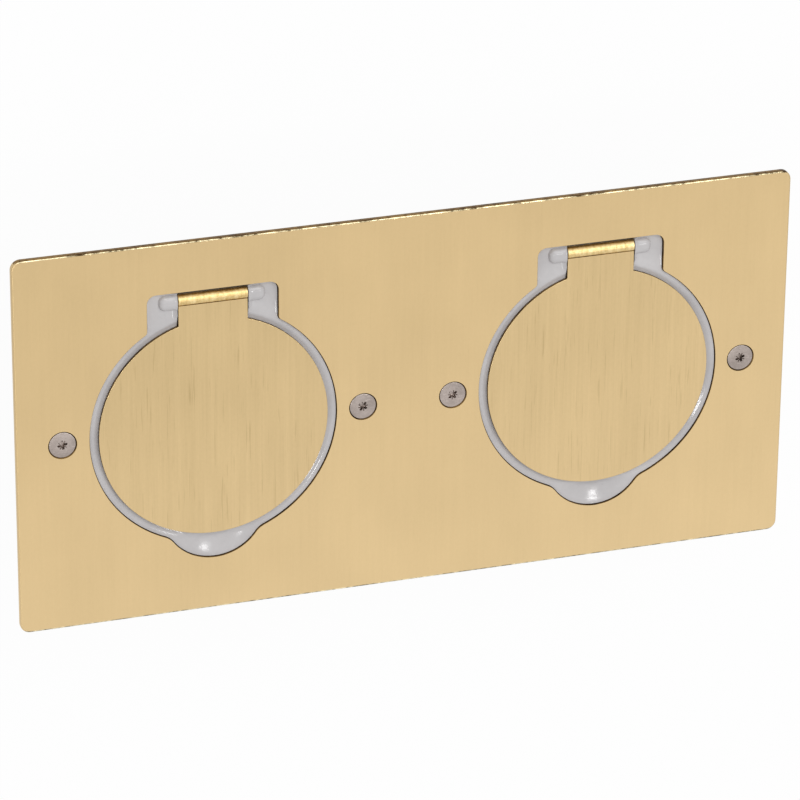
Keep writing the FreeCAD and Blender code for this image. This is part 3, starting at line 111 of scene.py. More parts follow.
class Graph:
    # one material's or the world's nodes
    def __init__(self, owner):
        owner.use_nodes = True
        self.owner = owner
        self.tree = owner.node_tree
        self.tree.nodes.clear()

    def add(self, kind, settings=None, values=None, outlet=0):
        node = self.tree.nodes.new("ShaderNode" + kind)
        for name, value in (settings or {}).items():
            setattr(node, name, value)
        for name, value in (values or {}).items():
            attach(node.inputs[name], value)
        return Signal(node.outputs[outlet]) if node.outputs else None

    def spread(self, across, along, upright):
        # the piece's own coordinates, with a count of features per metre each way
        spot = self.add("TexCoord", outlet="Object")
        return self.add("VectorMath", {"operation": "MULTIPLY"}, {0: spot, 1: (across, along, upright)})

    def noise(self, spot, detail=3.0, rough=0.5):
        return self.add("TexNoise", {}, {"Vector": spot, "Scale": 1.0, "Detail": detail, "Roughness": rough})

    def ease(self, value, low, high, start=0.0, end=1.0):
        return self.add("MapRange", {"interpolation_type": "SMOOTHSTEP"},
                        {"Value": value, "From Min": low, "From Max": high, "To Min": start, "To Max": end})

    def tint(self, share, first, second):
        return self.add("Mix", {"data_type": "RGBA"}, {0: share, 6: first, 7: second}, outlet=2)

    def relief(self, height, depth, strength=1.0):
        return self.add("Bump", {}, {"Height": height, "Distance": depth, "Strength": strength})

    def surface(self, **values):
        inlets = {name.replace("_", " "): value for name, value in values.items()}
        shader = self.add("BsdfPrincipled", {}, inlets)
        self.add("OutputMaterial", {}, {"Surface": shader})
        return self.owner


def newFinish(name):
    return Graph(bpy.data.materials.new(name))


def linear(red, green, blue):
    # a colour as seen on a screen, 0 to 255
    def single(level):
        level /= 255
        return level / 12.92 if level <= 0.04045 else ((level + 0.055) / 1.055) ** 2.4
    return (single(red), single(green), single(blue), 1.0)


# stretches are features per metre across, along and upright, or shares of a look's own count
brassGrain = {
    "hair": (1, 0.012, 0.1), "hairDetail": 4.0, "hairRough": 0.6, "streak": (1, 0.03, 0.2),
    "clouds": (45, 30, 45), "grain": (1500, 900, 1500),
    "scratches": (2300, 70, 300), "scratchFrom": 0.62, "scratchTo": 0.72,
    # painted light: a lighter tone painted towards the front right
    "paintedLightDrift": (0.7, -4.4, 0.0), "hairSheen": 0.14, "cloudSheen": 0.1,
    "heights": {"hair": 0.5, "streak": 0.3, "grain": 0.3, "scratch": 0.3},
}


def brushedBrass(name, look):
    brass = brassGrain
    graph = newFinish(name)
    hairs, streaks = ([look[count] * way for way in brass[kind]]
                      for count, kind in (("hairs", "hair"), ("streaks", "streak")))
    hair = graph.noise(graph.spread(*hairs), brass["hairDetail"], brass["hairRough"])
    streak = graph.noise(graph.spread(*streaks))
    cloud = graph.noise(graph.spread(*brass["clouds"]))
    grain = graph.noise(graph.spread(*brass["grain"]), 2.0)
    scratch = graph.ease(graph.noise(graph.spread(*brass["scratches"]), 2.0),
                         brass["scratchFrom"], brass["scratchTo"])
    shade = 0.5 + (hair - 0.5) * look["hairShade"] + (streak - 0.5) * look["streakShade"]
    shade = shade + (cloud - 0.5) * look["cloudShade"] + (grain - 0.5) * look["grainShade"]
    # painted light: the brass is painted a little lighter towards the front right
    paintedLightDrift = graph.add("VectorMath", {"operation": "DOT_PRODUCT"},
                      {0: graph.spread(1, 1, 1), 1: brass["paintedLightDrift"]}, outlet="Value")
    shade = shade + paintedLightDrift - scratch * look["scratchShade"]
    heights = brass["heights"]
    height = hair * heights["hair"] + streak * heights["streak"] + grain * heights["grain"]
    return graph.surface(
        Base_Color=graph.tint(shade, look["dark"], look["light"]), Metallic=1.0,
        Roughness=look["roughness"] + (hair - 0.5) * brass["hairSheen"] + (cloud - 0.5) * brass["cloudSheen"],
        Normal=graph.relief(height - scratch * heights["scratch"], look["relief"]))


cutMarks = {"burrs": (700, 700, 1400), "wear": (150, 150, 400), "burrShare": 0.6, "from": 0.35, "to": 0.65,
            "sheen": 0.2}


def cutBrass(name, look):
    # a sawn or punched edge, with burrs along it; its dark colours are painted shade where they are used
    marks = cutMarks
    graph = newFinish(name)
    burr = graph.noise(graph.spread(*marks["burrs"]), 4.0, 0.7)
    worn = graph.noise(graph.spread(*marks["wear"]), 2.0)
    mixed = burr * marks["burrShare"] + worn * (1 - marks["burrShare"])
    colour = graph.tint(graph.ease(mixed, marks["from"], marks["to"]), look["dark"], look["light"])
    return graph.surface(Base_Color=colour, Metallic=1.0,
                         Roughness=look["roughness"] + (worn - 0.5) * marks["sheen"],
                         Normal=graph.relief(burr + worn, look["relief"]))


mouldMarks = {"flow": (55, 90, 70), "specks": 2600, "speckFrom": 0.7, "speckTo": 0.8, "flowShade": 1.2,
              "peelShade": 0.3, "speckShade": 0.3, "flowSheen": 0.12, "peelSheen": 0.06, "speckHeight": 0.2}


def mouldedPlastic(name, look):
    marks = mouldMarks
    graph = newFinish(name)
    peel = graph.noise(graph.spread(look["peel"], look["peel"], look["peel"]), 2.0)
    flow = graph.noise(graph.spread(*marks["flow"]))
    specks = graph.spread(marks["specks"], marks["specks"], marks["specks"])
    speck = graph.ease(graph.noise(specks, 1.0), marks["speckFrom"], marks["speckTo"])
    shade = 0.5 + (flow - 0.5) * marks["flowShade"] + (peel - 0.5) * marks["peelShade"]
    shade = shade - speck * marks["speckShade"]
    sheen = (flow - 0.5) * marks["flowSheen"] + (peel - 0.5) * marks["peelSheen"]
    return graph.surface(
        Base_Color=graph.tint(shade, look["dark"], look["light"]), Roughness=look["roughness"] + sheen,
        Normal=graph.relief(peel + speck * marks["speckHeight"], look["relief"]))


platingMarks = {"tumble": 1800, "clouds": 140, "scuffs": (400, 3400, 900), "scuffFrom": 0.62, "scuffTo": 0.75,
                "cloudShade": 1.3, "tumbleShade": 0.6, "scuffShade": 0.3, "cloudSheen": 0.15,
                "scuffSheen": 0.08, "scuffHeight": 0.4}


def platedMetal(name, look):
    marks = platingMarks
    graph = newFinish(name)
    tumble = graph.noise(graph.spread(marks["tumble"], marks["tumble"], marks["tumble"]), 3.0, 0.6)
    cloud = graph.noise(graph.spread(marks["clouds"], marks["clouds"], marks["clouds"]))
    scuff = graph.ease(graph.noise(graph.spread(*marks["scuffs"]), 2.0), marks["scuffFrom"], marks["scuffTo"])
    shade = 0.5 + (cloud - 0.5) * marks["cloudShade"] + (tumble - 0.5) * marks["tumbleShade"]
    return graph.surface(
        Base_Color=graph.tint(shade + scuff * marks["scuffShade"], look["dark"], look["light"]), Metallic=1.0,
        Roughness=look["roughness"] + (cloud - 0.5) * marks["cloudSheen"] + scuff * marks["scuffSheen"],
        Normal=graph.relief(tumble - scuff * marks["scuffHeight"], look["relief"]))


sealMarks = {"dust": 300, "base": 0.3, "dustShade": 1.4, "cellShade": 0.5, "roughness": 0.85, "sheen": 0.15}


def softSeal(name, look):
    marks = sealMarks
    graph = newFinish(name)
    cells = graph.add("TexVoronoi", {"feature": "F1"},
                      {"Vector": graph.spread(look["cells"], look["cells"], look["cells"]), "Scale": 1.0})
    dust = graph.noise(graph.spread(marks["dust"], marks["dust"], marks["dust"]), 4.0, 0.6)
    shade = marks["base"] + (dust - 0.5) * marks["dustShade"] + cells * marks["cellShade"]
    return graph.surface(Base_Color=graph.tint(shade, look["dark"], look["light"]),
                         Roughness=marks["roughness"] + (dust - 0.5) * marks["sheen"],
                         Normal=graph.relief(cells, look["relief"]))


plateBrassLook = {"dark": linear(192, 167, 123), "light": linear(224, 197, 150), "roughness": 0.36,
                  "hairs": 3600, "streaks": 700, "hairShade": 0.14, "streakShade": 0.1, "cloudShade": 0.3,
                  "grainShade": 0.12, "scratchShade": 0.04, "relief": 0.000004}
lidBrassLook = {"dark": linear(186, 162, 118), "light": linear(224, 197, 150), "roughness": 0.34,
                "hairs": 3000, "streaks": 620, "hairShade": 0.3, "streakShade": 0.28, "cloudShade": 0.25,
                "grainShade": 0.15, "scratchShade": 0.3, "relief": 0.000008}
# the rolled knuckle's own brighter brass, painted lighter still as a painted highlight with bright grainy specks
knuckleHighlightLook = {"dark": linear(192, 160, 98), "light": linear(255, 236, 186), "roughness": 0.42,
               "hairs": 1500, "streaks": 500, "hairShade": 0.5, "streakShade": 0.4, "cloudShade": 0.2,
               "grainShade": 0.9, "scratchShade": 0.1, "relief": 0.00003}
# dark cut brass, painted shade on the openings' walls, the sinks, the lid's edge and the knuckle's crease
shadedEdgeLook = {"dark": linear(70, 50, 28), "light": linear(150, 120, 74), "roughness": 0.42, "relief": 0.00004}
# painted shade with painted glints, for the upper steps of the plate's long edges
burrShadeGlintLook = {"dark": linear(52, 38, 20), "light": linear(255, 240, 196), "roughness": 0.3, "relief": 0.00006}
greyLook = {"dark": linear(184, 181, 182), "light": linear(210, 207, 207), "roughness": 0.16, "peel": 900,
            "relief": 0.000003}
headLook = {"dark": linear(128, 118, 112), "light": linear(190, 178, 171), "roughness": 0.34,
            "relief": 0.00002}

finishes = {
    "cover_plate_brass": brushedBrass("plateBrass", plateBrassLook),
    "flap_brass": brushedBrass("lidBrass", lidBrassLook),
    "grey_plastic": mouldedPlastic("frameGrey", greyLook),
    "outlet_plastic": mouldedPlastic("outletGrey", {**greyLook, "peel": 700, "roughness": 0.3}),
    "box_plastic": mouldedPlastic("boxGrey", {
        "dark": linear(74, 76, 80), "light": linear(104, 106, 110), "roughness": 0.5, "peel": 500,
        "relief": 0.00003}),
    "base_plastic": mouldedPlastic("baseBlack", {
        "dark": linear(38, 38, 40), "light": linear(58, 58, 61), "roughness": 0.46, "peel": 600,
        "relief": 0.00002}),
    "shutter_plastic": mouldedPlastic("shutterWhite", {
        "dark": linear(214, 211, 204), "light": linear(236, 233, 227), "roughness": 0.38, "peel": 800,
        "relief": 0.00001}),
    "seal_rubber": softSeal("sealRubber", {
        "dark": linear(28, 28, 29), "light": linear(62, 61, 61), "cells": 1600, "relief": 0.00001}),
    "foam_seal": softSeal("gasketFoam", {
        "dark": linear(34, 34, 35), "light": linear(84, 83, 82), "cells": 1100, "relief": 0.00008}),
    "zinc_steel": platedMetal("zincSteel", {
        "dark": linear(166, 168, 170), "light": linear(224, 226, 226), "roughness": 0.36, "relief": 0.00001}),
    "screw_steel": platedMetal("headSteel", headLook),
    "spring_steel": platedMetal("springWire", {
        "dark": linear(150, 150, 152), "light": linear(220, 220, 222), "roughness": 0.22,
        "relief": 0.000005}),
    "contact_brass": platedMetal("contactBrass", {
        "dark": linear(186, 146, 76), "light": linear(240, 208, 138), "roughness": 0.3, "relief": 0.00001}),
}
shadedEdgeFinish = cutBrass("cutEdgePaintedShade", shadedEdgeLook)
burrShadeGlintFinish = cutBrass("burredEdgePaintedShadeGlint", burrShadeGlintLook)
knuckleHighlightFinish = brushedBrass("knuckleBrassPaintedHighlight", knuckleHighlightLook)
for entry in frame["record"]["subparts"]:
    data = frame["nodes"][entry["node"]].data
    data.materials.clear()
    data.materials.append(finishes[entry["material_slot"]])
print("finishes made:", len(finishes), "and three for cut edges and the knuckle")


def insideOf(polygon, points):
    # even and odd crossings along +X
    px, py = points[:, 0][:, None], points[:, 1][:, None]
    ax, ay = np.array(polygon).T
    bx, by = np.roll(ax, -1), np.roll(ay, -1)
    crosses = (ay > py) != (by > py)
    with np.errstate(divide="ignore", invalid="ignore"):
        at = ax + (py - ay) * (bx - ax) / (by - ay)
    return (np.sum(crosses & (px < at), axis=1) % 2) == 1


meshing = {"weld": 0.0004, "sliver": 0.0002, "snap": 0.000001}


class Shape:
    # a mesh being built; flat faces keep a crisp shade up to their borders
    def __init__(self):
        self.mesh = bmesh.new()
        self.flat = self.mesh.faces.layers.int.new("flat")

    def ring(self, outline, height):
        return [self.mesh.verts.new((x, y, height)) for x, y in outline]

    def dots(self, points):
        return [self.mesh.verts.new(point) for point in points]

    def band(self, first, second, finish=0, closed=True):
        sides = list(zip(first, first[1:] + first[:1], second[1:] + second[:1], second))
        made = [self.mesh.faces.new(corners) for corners in (sides if closed else sides[:-1])]
        for part in made:
            part.material_index = finish
        return made

    def fill(self, *rings, finish=0):
        # a level face inside the first ring and outside the others
        dots, ends, outlines = [], [], []
        for ring in rings:
            start, count = len(dots), len(ring)
            ends += [(start + step, start + (step + 1) % count) for step in range(count)]
            dots += ring
            outlines.append([(dot.co.x, dot.co.y) for dot in ring])
        places = [Vector((dot.co.x, dot.co.y)) for dot in dots]
        solved, _, triangles, origins, *_ = delaunay_2d_cdt(places, ends, [], 0, meshing["snap"])
        spots = np.array([tuple(spot) for spot in solved])
        middles = np.array([spots[list(triangle)].mean(axis=0) for triangle in triangles])
        kept = insideOf(outlines[0], middles)
        for outline in outlines[1:]:
            kept &= ~insideOf(outline, middles)
        for index in np.flatnonzero(kept):
            made = self.mesh.faces.new([dots[origins[corner][0]] for corner in triangles[index]])
            made.material_index = finish
            made[self.flat] = 1

    def piece(self, name, body, looks, centre=(0, 0), turn=0.0, crease=32):
        mesh = self.mesh
        bmesh.ops.remove_doubles(mesh, verts=mesh.verts, dist=meshing["weld"])
        bmesh.ops.dissolve_degenerate(mesh, edges=mesh.edges, dist=meshing["sliver"])
        bmesh.ops.recalc_face_normals(mesh, faces=mesh.faces)
        for part in mesh.faces:
            part.smooth = True
        for edge in mesh.edges:
            pair = edge.link_faces
            if len(pair) == 2:
                mixed = pair[0][self.flat] != pair[1][self.flat]
                edge.smooth = not mixed and edge.calc_face_angle(0) < math.radians(crease)
        place = Matrix.Translation((centre[0], centre[1], face)) @ Matrix.Rotation(math.radians(turn), 4, "Z")
        mesh.transform(Matrix.Scale(mm, 4) @ place)
        data = bpy.data.meshes.new(name)
        mesh.to_mesh(data)
        mesh.free()
        for look in looks:
            data.materials.append(look)
        made = bpy.data.objects.new(name, data)
        bpy.context.scene.collection.objects.link(made)
        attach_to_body(made, body)
        return made


def arc(centre, radius, start, end, count):
    angles = np.radians(np.linspace(start, end, count))
    return [(centre[0] + radius * math.cos(a), centre[1] + radius * math.sin(a)) for a in angles]


def both(half):
    # a right half from bottom to top, closed by its mirror image
    return half + [(-x, y) for x, y in reversed(half[1:-1])]


openingPlan = {"radius": 31.5, "scoop": 13.0, "scoopDrop": 23.0, "scoopBlend": 5.5, "recess": 16.6,
               "reach": 36.8, "corner": 2.3, "recessBlend": 1.2, "screwReach": 38.3,
               "steps": {"scoop": 22, "blend": 10, "ring": 70, "nick": 6, "corner": 9}}


def openingOutline(grow):
    plan, steps = openingPlan, openingPlan["steps"]
    radius, scoop, side = plan["radius"] + grow, plan["scoop"] + grow, plan["recess"] + grow
    blend, nick, corner = plan["scoopBlend"] - grow, max(plan["recessBlend"] - grow, 0), plan["corner"]
    drop = plan["scoopDrop"]
    y = ((scoop + blend) ** 2 - (radius + blend) ** 2 - drop ** 2) / (2 * drop)
    low = (math.sqrt((radius + blend) ** 2 - y ** 2), y)
    high = (side + nick, math.sqrt((radius + nick) ** 2 - (side + nick) ** 2))
    lowTurn, highTurn = (math.degrees(math.atan2(spot[1], spot[0])) for spot in (low, high))
    scoopTurn = math.degrees(math.atan2(low[1] + drop, low[0]))
    half = arc((0, -drop), scoop, -90, scoopTurn, steps["scoop"])
    half += arc(low, blend, scoopTurn + 180, lowTurn + 180, steps["blend"])[1:]
    half += arc((0, 0), radius, lowTurn, highTurn, steps["ring"])[1:]
    half += arc(high, nick, highTurn + 180, 180, steps["nick"])
    half += arc((plan["recess"] - corner, plan["reach"] - corner), corner + grow, 0, 90, steps["corner"])
    return both(half + [(0, plan["reach"] + grow)])


def circleOutline(radius, count=96):
    return arc((0, 0), radius, 0, 360, count + 1)[:-1]


def moved(outline, x, y=0.0):
    return [(x + dx, y + dy) for dx, dy in outline]


plateSize = {
    "edge": 0.4, "edgeTurn": 18, "corner": 2.5, "cornerSteps": 9, "wall": 1.35, "under": 0.75,
    "burred": 0.6, "burrSteps": 2, "lip": 0.06, "lipBreak": 0.3, "unshadedWall": 0.4,
    "sinkRadius": 3.6, "sinkBreak": 0.05, "sinkDraft": 0.08, "sinkWall": 0.25, "coneRise": 0.4,
    "holeRadius": 1.95, "sinkSteps": 48,
}
plateLow, plateHigh = (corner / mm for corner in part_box("cover_plate"))
thickness = plateHigh.z - plateLow.z


def plateOutline(inset):
    corner = plateSize["corner"]
    x, y = plateHigh.x - corner, plateHigh.y - corner
    outline = []
    for sx, sy, start in ((1, -1, -90), (1, 1, 0), (-1, 1, 90), (-1, -1, 180)):
        outline += arc((sx * x, sy * y), corner - inset, start, start + 90, plateSize["cornerSteps"])
    return outline


def plateRim(shape):
    edge = plateSize["edge"]
    rings = [shape.ring(plateOutline(edge * (1 - math.sin(math.radians(turn)))),
                        -edge * (1 - math.cos(math.radians(turn))))
             for turn in range(0, 91, plateSize["edgeTurn"])]
    rings.append(shape.ring(plateOutline(0), -plateSize["wall"]))
    rings.append(shape.ring(plateOutline(plateSize["under"]), -thickness))
    # the long edges were sheared and kept a burr, the short ones were dressed; the long edges are also painted
    # dark as shade, their upper steps with painted glints
    for step, (upper, lower) in enumerate(zip(rings, rings[1:])):
        for part in shape.band(upper, lower):
            along = abs(part.calc_center_median().y) > plateHigh.y - plateSize["burred"]
            part.material_index = (2 if step < plateSize["burrSteps"] else 1) if along else 0
    return rings[0], rings[-1]


def plateOpening(shape, x):
    lip = plateSize["lip"]
    wall = [shape.ring(moved(openingOutline(grow), x), height) for grow, height in (
        (lip, 0), (lip * plateSize["lipBreak"], -lip * plateSize["lipBreak"]), (0, -lip), (0, -thickness))]
    for upper, lower in zip(wall, wall[1:]):
        for part in shape.band(upper, lower):
            # cut edges are painted dark as shade, but for the one behind the knuckle, which keeps the plate's
            # brass
            behind = part.calc_center_median().y >= openingPlan["reach"] - plateSize["unshadedWall"]
            part.material_index = 0 if behind else 1
    return wall[0], wall[-1]


def plateSink(shape, x):
    size = plateSize
    sink, hole, deep = size["sinkRadius"], size["holeRadius"], size["sinkWall"]
    wall = [shape.ring(moved(circleOutline(radius, size["sinkSteps"]), x), height) for radius, height in (
        (sink + size["sinkBreak"], 0), (sink, -size["sinkBreak"]), (sink - size["sinkDraft"], -deep),
        (hole, hole - sink - deep + size["coneRise"]), (hole, -thickness))]
    # the sink's walls are painted dark, as painted shade round the screw head
    for upper, lower in zip(wall, wall[1:]):
        shape.band(upper, lower, finish=1)
    return wall[0], wall[-1]


def buildCoverPlate():
    shape = Shape()
    borders = [plateRim(shape)]
    for x in gangs.values():
        borders.append(plateOpening(shape, x))
        borders += [plateSink(shape, x + side * openingPlan["screwReach"]) for side in (-1, 1)]
    tops, bottoms = zip(*borders)
    shape.fill(*tops)
    shape.fill(*bottoms)
    plate = shape.piece("coverPlate", "floor_box",
                        [finishes["cover_plate_brass"], shadedEdgeFinish, burrShadeGlintFinish])
    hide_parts("cover_plate")
    print("cover plate:", len(plate.data.polygons), "faces")


buildCoverPlate()


lidSize = {
    "radius": 29.15, "tab": 8.75, "tabEnd": 32.62, "thickness": 0.8, "discSteps": 84, "tabSteps": 20,
    "edge": 0.1, "edgeTurns": (0, 22.5, 45, 67.5, 90),
    "hingeY": 33.6, "hingeZ": -1.1, "rollY": 34.4, "outer": 1.5, "inner": 0.85, "chamfer": 0.08,
    "rollStart": 137, "seam": -155, "rollSteps": 48, "boreStart": 160,
    "overlap": 0.1, "sunk": 0.004, "creaseWidth": 0.14, "creaseFoot": 0.04, "creaseDepth": 0.07,
}


def lidOutline(grow, end, radius=None):
    radius, tab = radius or lidSize["radius"] + grow, lidSize["tab"] + grow
    turn = math.degrees(math.acos(tab / radius))
    half = arc((0, 0), radius, -90, turn, lidSize["discSteps"])
    start, steps = half[-1][1], lidSize["tabSteps"]
    half += [(tab, start + (end - start) * step / steps) for step in range(1, steps + 1)]
    return both(half + [(tab * 0.5, end), (0, end)])


def lidSheet(shape):
    size = lidSize
    edge = size["edge"]
    rings = []
    for turn in size["edgeTurns"]:
        inset, drop = edge * (1 - math.sin(math.radians(turn))), edge * (1 - math.cos(math.radians(turn)))
        rings.append(shape.ring(lidOutline(-inset, size["tabEnd"]), -drop))
    rings.append(shape.ring(lidOutline(0, size["tabEnd"]), -size["thickness"]))
    # the lower steps of the lid's rounded edge are painted dark as shade
    for step, (upper, lower) in enumerate(zip(rings, rings[1:])):
        shape.band(upper, lower, finish=0 if step < 2 else 1)
    shape.fill(rings[0])
    shape.fill(rings[-1])


def rollProfile(trim):
    # on from the sheet, over the top, down the back and round under the pin; then the bore back again
    size = lidSize
    outside, inside = size["outer"] - trim, size["inner"] + trim
    turns = np.radians(np.linspace(size["rollStart"], size["seam"], size["rollSteps"]))
    centres = np.where(turns > -math.pi / 2, size["rollY"], size["hingeY"])
    over = [(centre + outside * math.cos(turn), size["hingeZ"] + outside * math.sin(turn))
            for centre, turn in zip(centres, turns)]
    foot, level = over[0]
    over = [(size["tabEnd"] - size["overlap"], -trim - size["sunk"]),
            (foot - size["creaseWidth"], -trim - size["sunk"]),
            (foot - size["creaseFoot"], level - size["creaseDepth"])] + over
    bore = [(size["hingeY"] + inside * math.cos(turn), size["hingeZ"] + inside * math.sin(turn))
            for turn in np.radians(np.linspace(size["boreStart"], size["seam"], len(over)))]
    return over + bore[::-1]


def lidRoll(shape):
    tab, chamfer = lidSize["tab"], lidSize["chamfer"]
    loops = [shape.dots([(reach, y, z) for y, z in rollProfile(trim)]) for reach, trim in (
        (-tab, chamfer), (-tab + chamfer, 0), (tab - chamfer, 0), (tab, chamfer))]
    for first, second in zip(loops, loops[1:]):
        # the strip at the crease is painted dark as shade in the crease
        for part, look in zip(shape.band(first, second, finish=2), (0, 1, 1)):
            part.material_index = look
    count = len(loops[0]) // 2
    for loop in (loops[0], loops[-1]):
        shape.band(loop[:count], loop[count:][::-1], finish=2, closed=False)


def buildLid(side, x):
    shape = Shape()
    lidSheet(shape)
    lidRoll(shape)
    lid = shape.piece(f"{side}_lid", f"{side}_lid",
                      [finishes["flap_brass"], shadedEdgeFinish, knuckleHighlightFinish], centre=(x, 0))
    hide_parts(f"{side}_flap")
    print("lid:", side, len(lid.data.polygons), "faces")


for side, x in gangs.items():
    buildLid(side, x)


frameSize = {
    "gap": 0.15, "lidGap": 0.2, "ledge": 28.55, "ledgeTop": -1.0, "ring": -0.5, "rise": (29.2, 30.8),
    "ear": -1.25, "earFall": (29.2, 36.5), "earFrom": 20, "hingeFrom": 28, "curl": 0.3, "curlWidth": 0.8,
    "cheek": 0.8, "cheekWidth": 1.3, "cheekRise": (30, 32), "rim": 39.2,
    "slotFloor": -3.48, "slotStart": 30.0, "seat": -2.3, "aperture": 23.4, "flange": 2.8, "flangeTop": -2.0,
    "under": -3.6, "bossLength": 4.4, "bossRound": 1.5, "bossDrop": 0.42, "bossBlend": 1.9, "hidden": -4.0,
    "bowlY": -26.0, "bowlSphere": 29.6, "bowlDepth": 1.6, "bowlBlend": 0.5,
    "fine": ((-17, 17), (26, 37), 0.2), "coarse": ((-32, 32), (-37, 26), 0.42), "rowShare": 0.92,
    "ledgeTurn": 1.5, "ledgeRises": (0.04, 0.12, 0.24, 0.4), "clear": 0.09, "snap": 0.00001, "crease": 48,
}


def softMax(first, second, blend):
    share = np.clip(0.5 + 0.5 * (first - second) / blend, 0, 1)
    return second + (first - second) * share + blend * share * (1 - share)


def ramp(value, start, end):
    return np.clip((value - start) / (end - start), 0, 1)


def smoothRamp(value, start, end):
    step = ramp(value, start, end)
    return step * step * (3 - 2 * step)


def bossHeight(x, y):
    # a domed boss on each ear, long enough to cover the pin and the roll's end
    size = frameSize
    straight = lidSize["tab"] + size["lidGap"] + size["bossLength"] - size["bossRound"]
    past = np.maximum(np.abs(x) - straight, 0)
    aside = np.maximum(np.maximum(lidSize["hingeY"] - y, y - lidSize["rollY"]), 0)
    room = size["bossRound"] ** 2 - aside ** 2 - past ** 2
    dome = lidSize["hingeZ"] - size["bossDrop"] + np.sqrt(np.maximum(room, 0))
    return np.where(room > 0, dome, size["hidden"])


def bowlHeight(x, y):
    size = frameSize
    sphere = size["bowlSphere"]
    far = np.hypot(x, y - size["bowlY"])
    return size["ring"] - size["bowlDepth"] + sphere - np.sqrt(np.maximum(sphere ** 2 - far ** 2, 1))


def frameHeight(x, y):
    size = frameSize
    radius = np.hypot(x, y)
    rise = smoothRamp(radius, *size["rise"])
    top = size["ledgeTop"] + (size["ring"] - size["ledgeTop"]) * rise
    fall = smoothRamp(radius, *size["earFall"]) * (y > size["earFrom"])
    top = top + (size["ear"] - size["ring"]) * fall
    # the ears curl up a little at the tab and along the recess
    cheek = np.clip(1 - (np.abs(x) - lidSize["tab"] - size["lidGap"]) / size["cheekWidth"], 0, 1)
    cheek = cheek * ramp(radius, *size["cheekRise"])
    rim = np.minimum(openingPlan["recess"] - np.abs(x), openingPlan["reach"] - y) - size["gap"]
    curl = np.clip(1 - rim / size["curlWidth"], 0, 1)
    atHinge = y > size["hingeFrom"]
    top = top + np.where(atHinge, size["cheek"] * cheek ** 2 + size["curl"] * curl ** 2, 0)
    top = np.where(atHinge, softMax(bossHeight(x, y), top, size["bossBlend"]), top)
    bowled = -softMax(-bowlHeight(x, y), -top, size["bowlBlend"])
    return top + (bowled - top) * np.where(y < 0, rise, 0)


def frameLoops():
    # the C-shaped top: the recess side first, then back round the lid
    size = frameSize
    slot = lidSize["tab"] + size["lidGap"]
    end = openingPlan["reach"] - size["gap"]
    outer = openingOutline(-size["gap"])
    half = outer[:len(outer) // 2 + 1][:-1]
    bottomUp = half + [(slot, end)]
    outside = [(-px, py) for px, py in reversed(bottomUp[1:])] + bottomUp
    inner = lidOutline(size["lidGap"], end, size["ledge"])
    inner = inner[:len(inner) // 2 + 1][:-2]
    inside = inner[::-1] + [(-px, py) for px, py in inner[1:]]
    return outside, inside, slot, end


def frameSpots(polygon):
    # a staggered net inside the outline, finer at the hinge, with rings along the lid's edge
    size = frameSize
    nets = []
    for (x0, x1), (y0, y1), pitch in (size["fine"], size["coarse"]):
        gx, gy = np.meshgrid(np.arange(x0, x1, pitch), np.arange(y0, y1, pitch * size["rowShare"]))
        gx = gx + (np.arange(len(gx)) % 2)[:, None] * pitch / 2
        nets.append(np.stack([gx.ravel(), gy.ravel()], axis=1))
    turns = np.radians(np.arange(0, 360, size["ledgeTurn"]))
    for rise in size["ledgeRises"]:
        nets.append(np.stack([np.cos(turns), np.sin(turns)], axis=1) * (size["ledge"] + rise))
    spots = np.concatenate(nets)
    border = np.array(polygon)
    near = np.min(np.hypot(*(spots[:, None, :] - border[None, :, :]).transpose(2, 0, 1)), axis=1)
    return spots[insideOf(polygon, spots) & (near > size["clear"])]


def frameTop(shape, polygon):
    places = [Vector(spot) for spot in polygon] + [Vector(spot) for spot in frameSpots(polygon)]
    ends = [(index, (index + 1) % len(polygon)) for index in range(len(polygon))]
    solved, _, triangles, *_ = delaunay_2d_cdt(places, ends, [], 0, frameSize["snap"])
    flat = np.array([tuple(spot) for spot in solved])
    heights = frameHeight(flat[:, 0], flat[:, 1])
    dots = shape.dots([(px, py, pz) for (px, py), pz in zip(flat, heights)])
    middles = np.array([flat[list(triangle)].mean(axis=0) for triangle in triangles])
    for triangle, kept in zip(triangles, insideOf(polygon, middles)):
        if kept:
            shape.mesh.faces.new([dots[corner] for corner in triangle])


def toppedLine(shape, line):
    line = np.array(line)
    return shape.dots(list(zip(line[:, 0], line[:, 1], frameHeight(line[:, 0], line[:, 1]))))


def frameSlot(shape, slot, end):
    size = frameSize
    back = [(slot, end), (-slot, end)]
    shape.band(shape.ring(back, size["flangeTop"]), shape.ring(back, size["slotFloor"]), closed=False)
    recess = [(slot, size["slotStart"]), (slot, end), (-slot, end), (-slot, size["slotStart"])]
    shape.fill(shape.ring(recess, size["slotFloor"]))
    brink = [(slot, size["slotStart"]), (-slot, size["slotStart"])]
    shape.band(shape.ring(brink, size["seat"]), shape.ring(brink, size["slotFloor"]), closed=False)


def frameSeat(shape, inside, slot):
    # the seat under the lid, the aperture through it and the clamped flange
    size = frameSize
    seatSide = [spot for spot in inside if spot[1] <= size["slotStart"]]
    seatSide = [(slot, size["slotStart"])] + seatSide + [(-slot, size["slotStart"])]
    hole = circleOutline(size["aperture"])
    upper, lower = shape.ring(hole, size["seat"]), shape.ring(hole, size["under"])
    shape.band(upper, lower)
    shape.fill(shape.ring(seatSide, size["seat"]), upper)
    rim = [(px, min(py, size["rim"])) for px, py in openingOutline(size["flange"])]
    rimTop, rimUnder = shape.ring(rim, size["flangeTop"]), shape.ring(rim, size["under"])
    shape.band(rimTop, rimUnder)
    shape.fill(rimTop, shape.ring(openingOutline(-size["gap"]), size["flangeTop"]))
    shape.fill(rimUnder, lower)


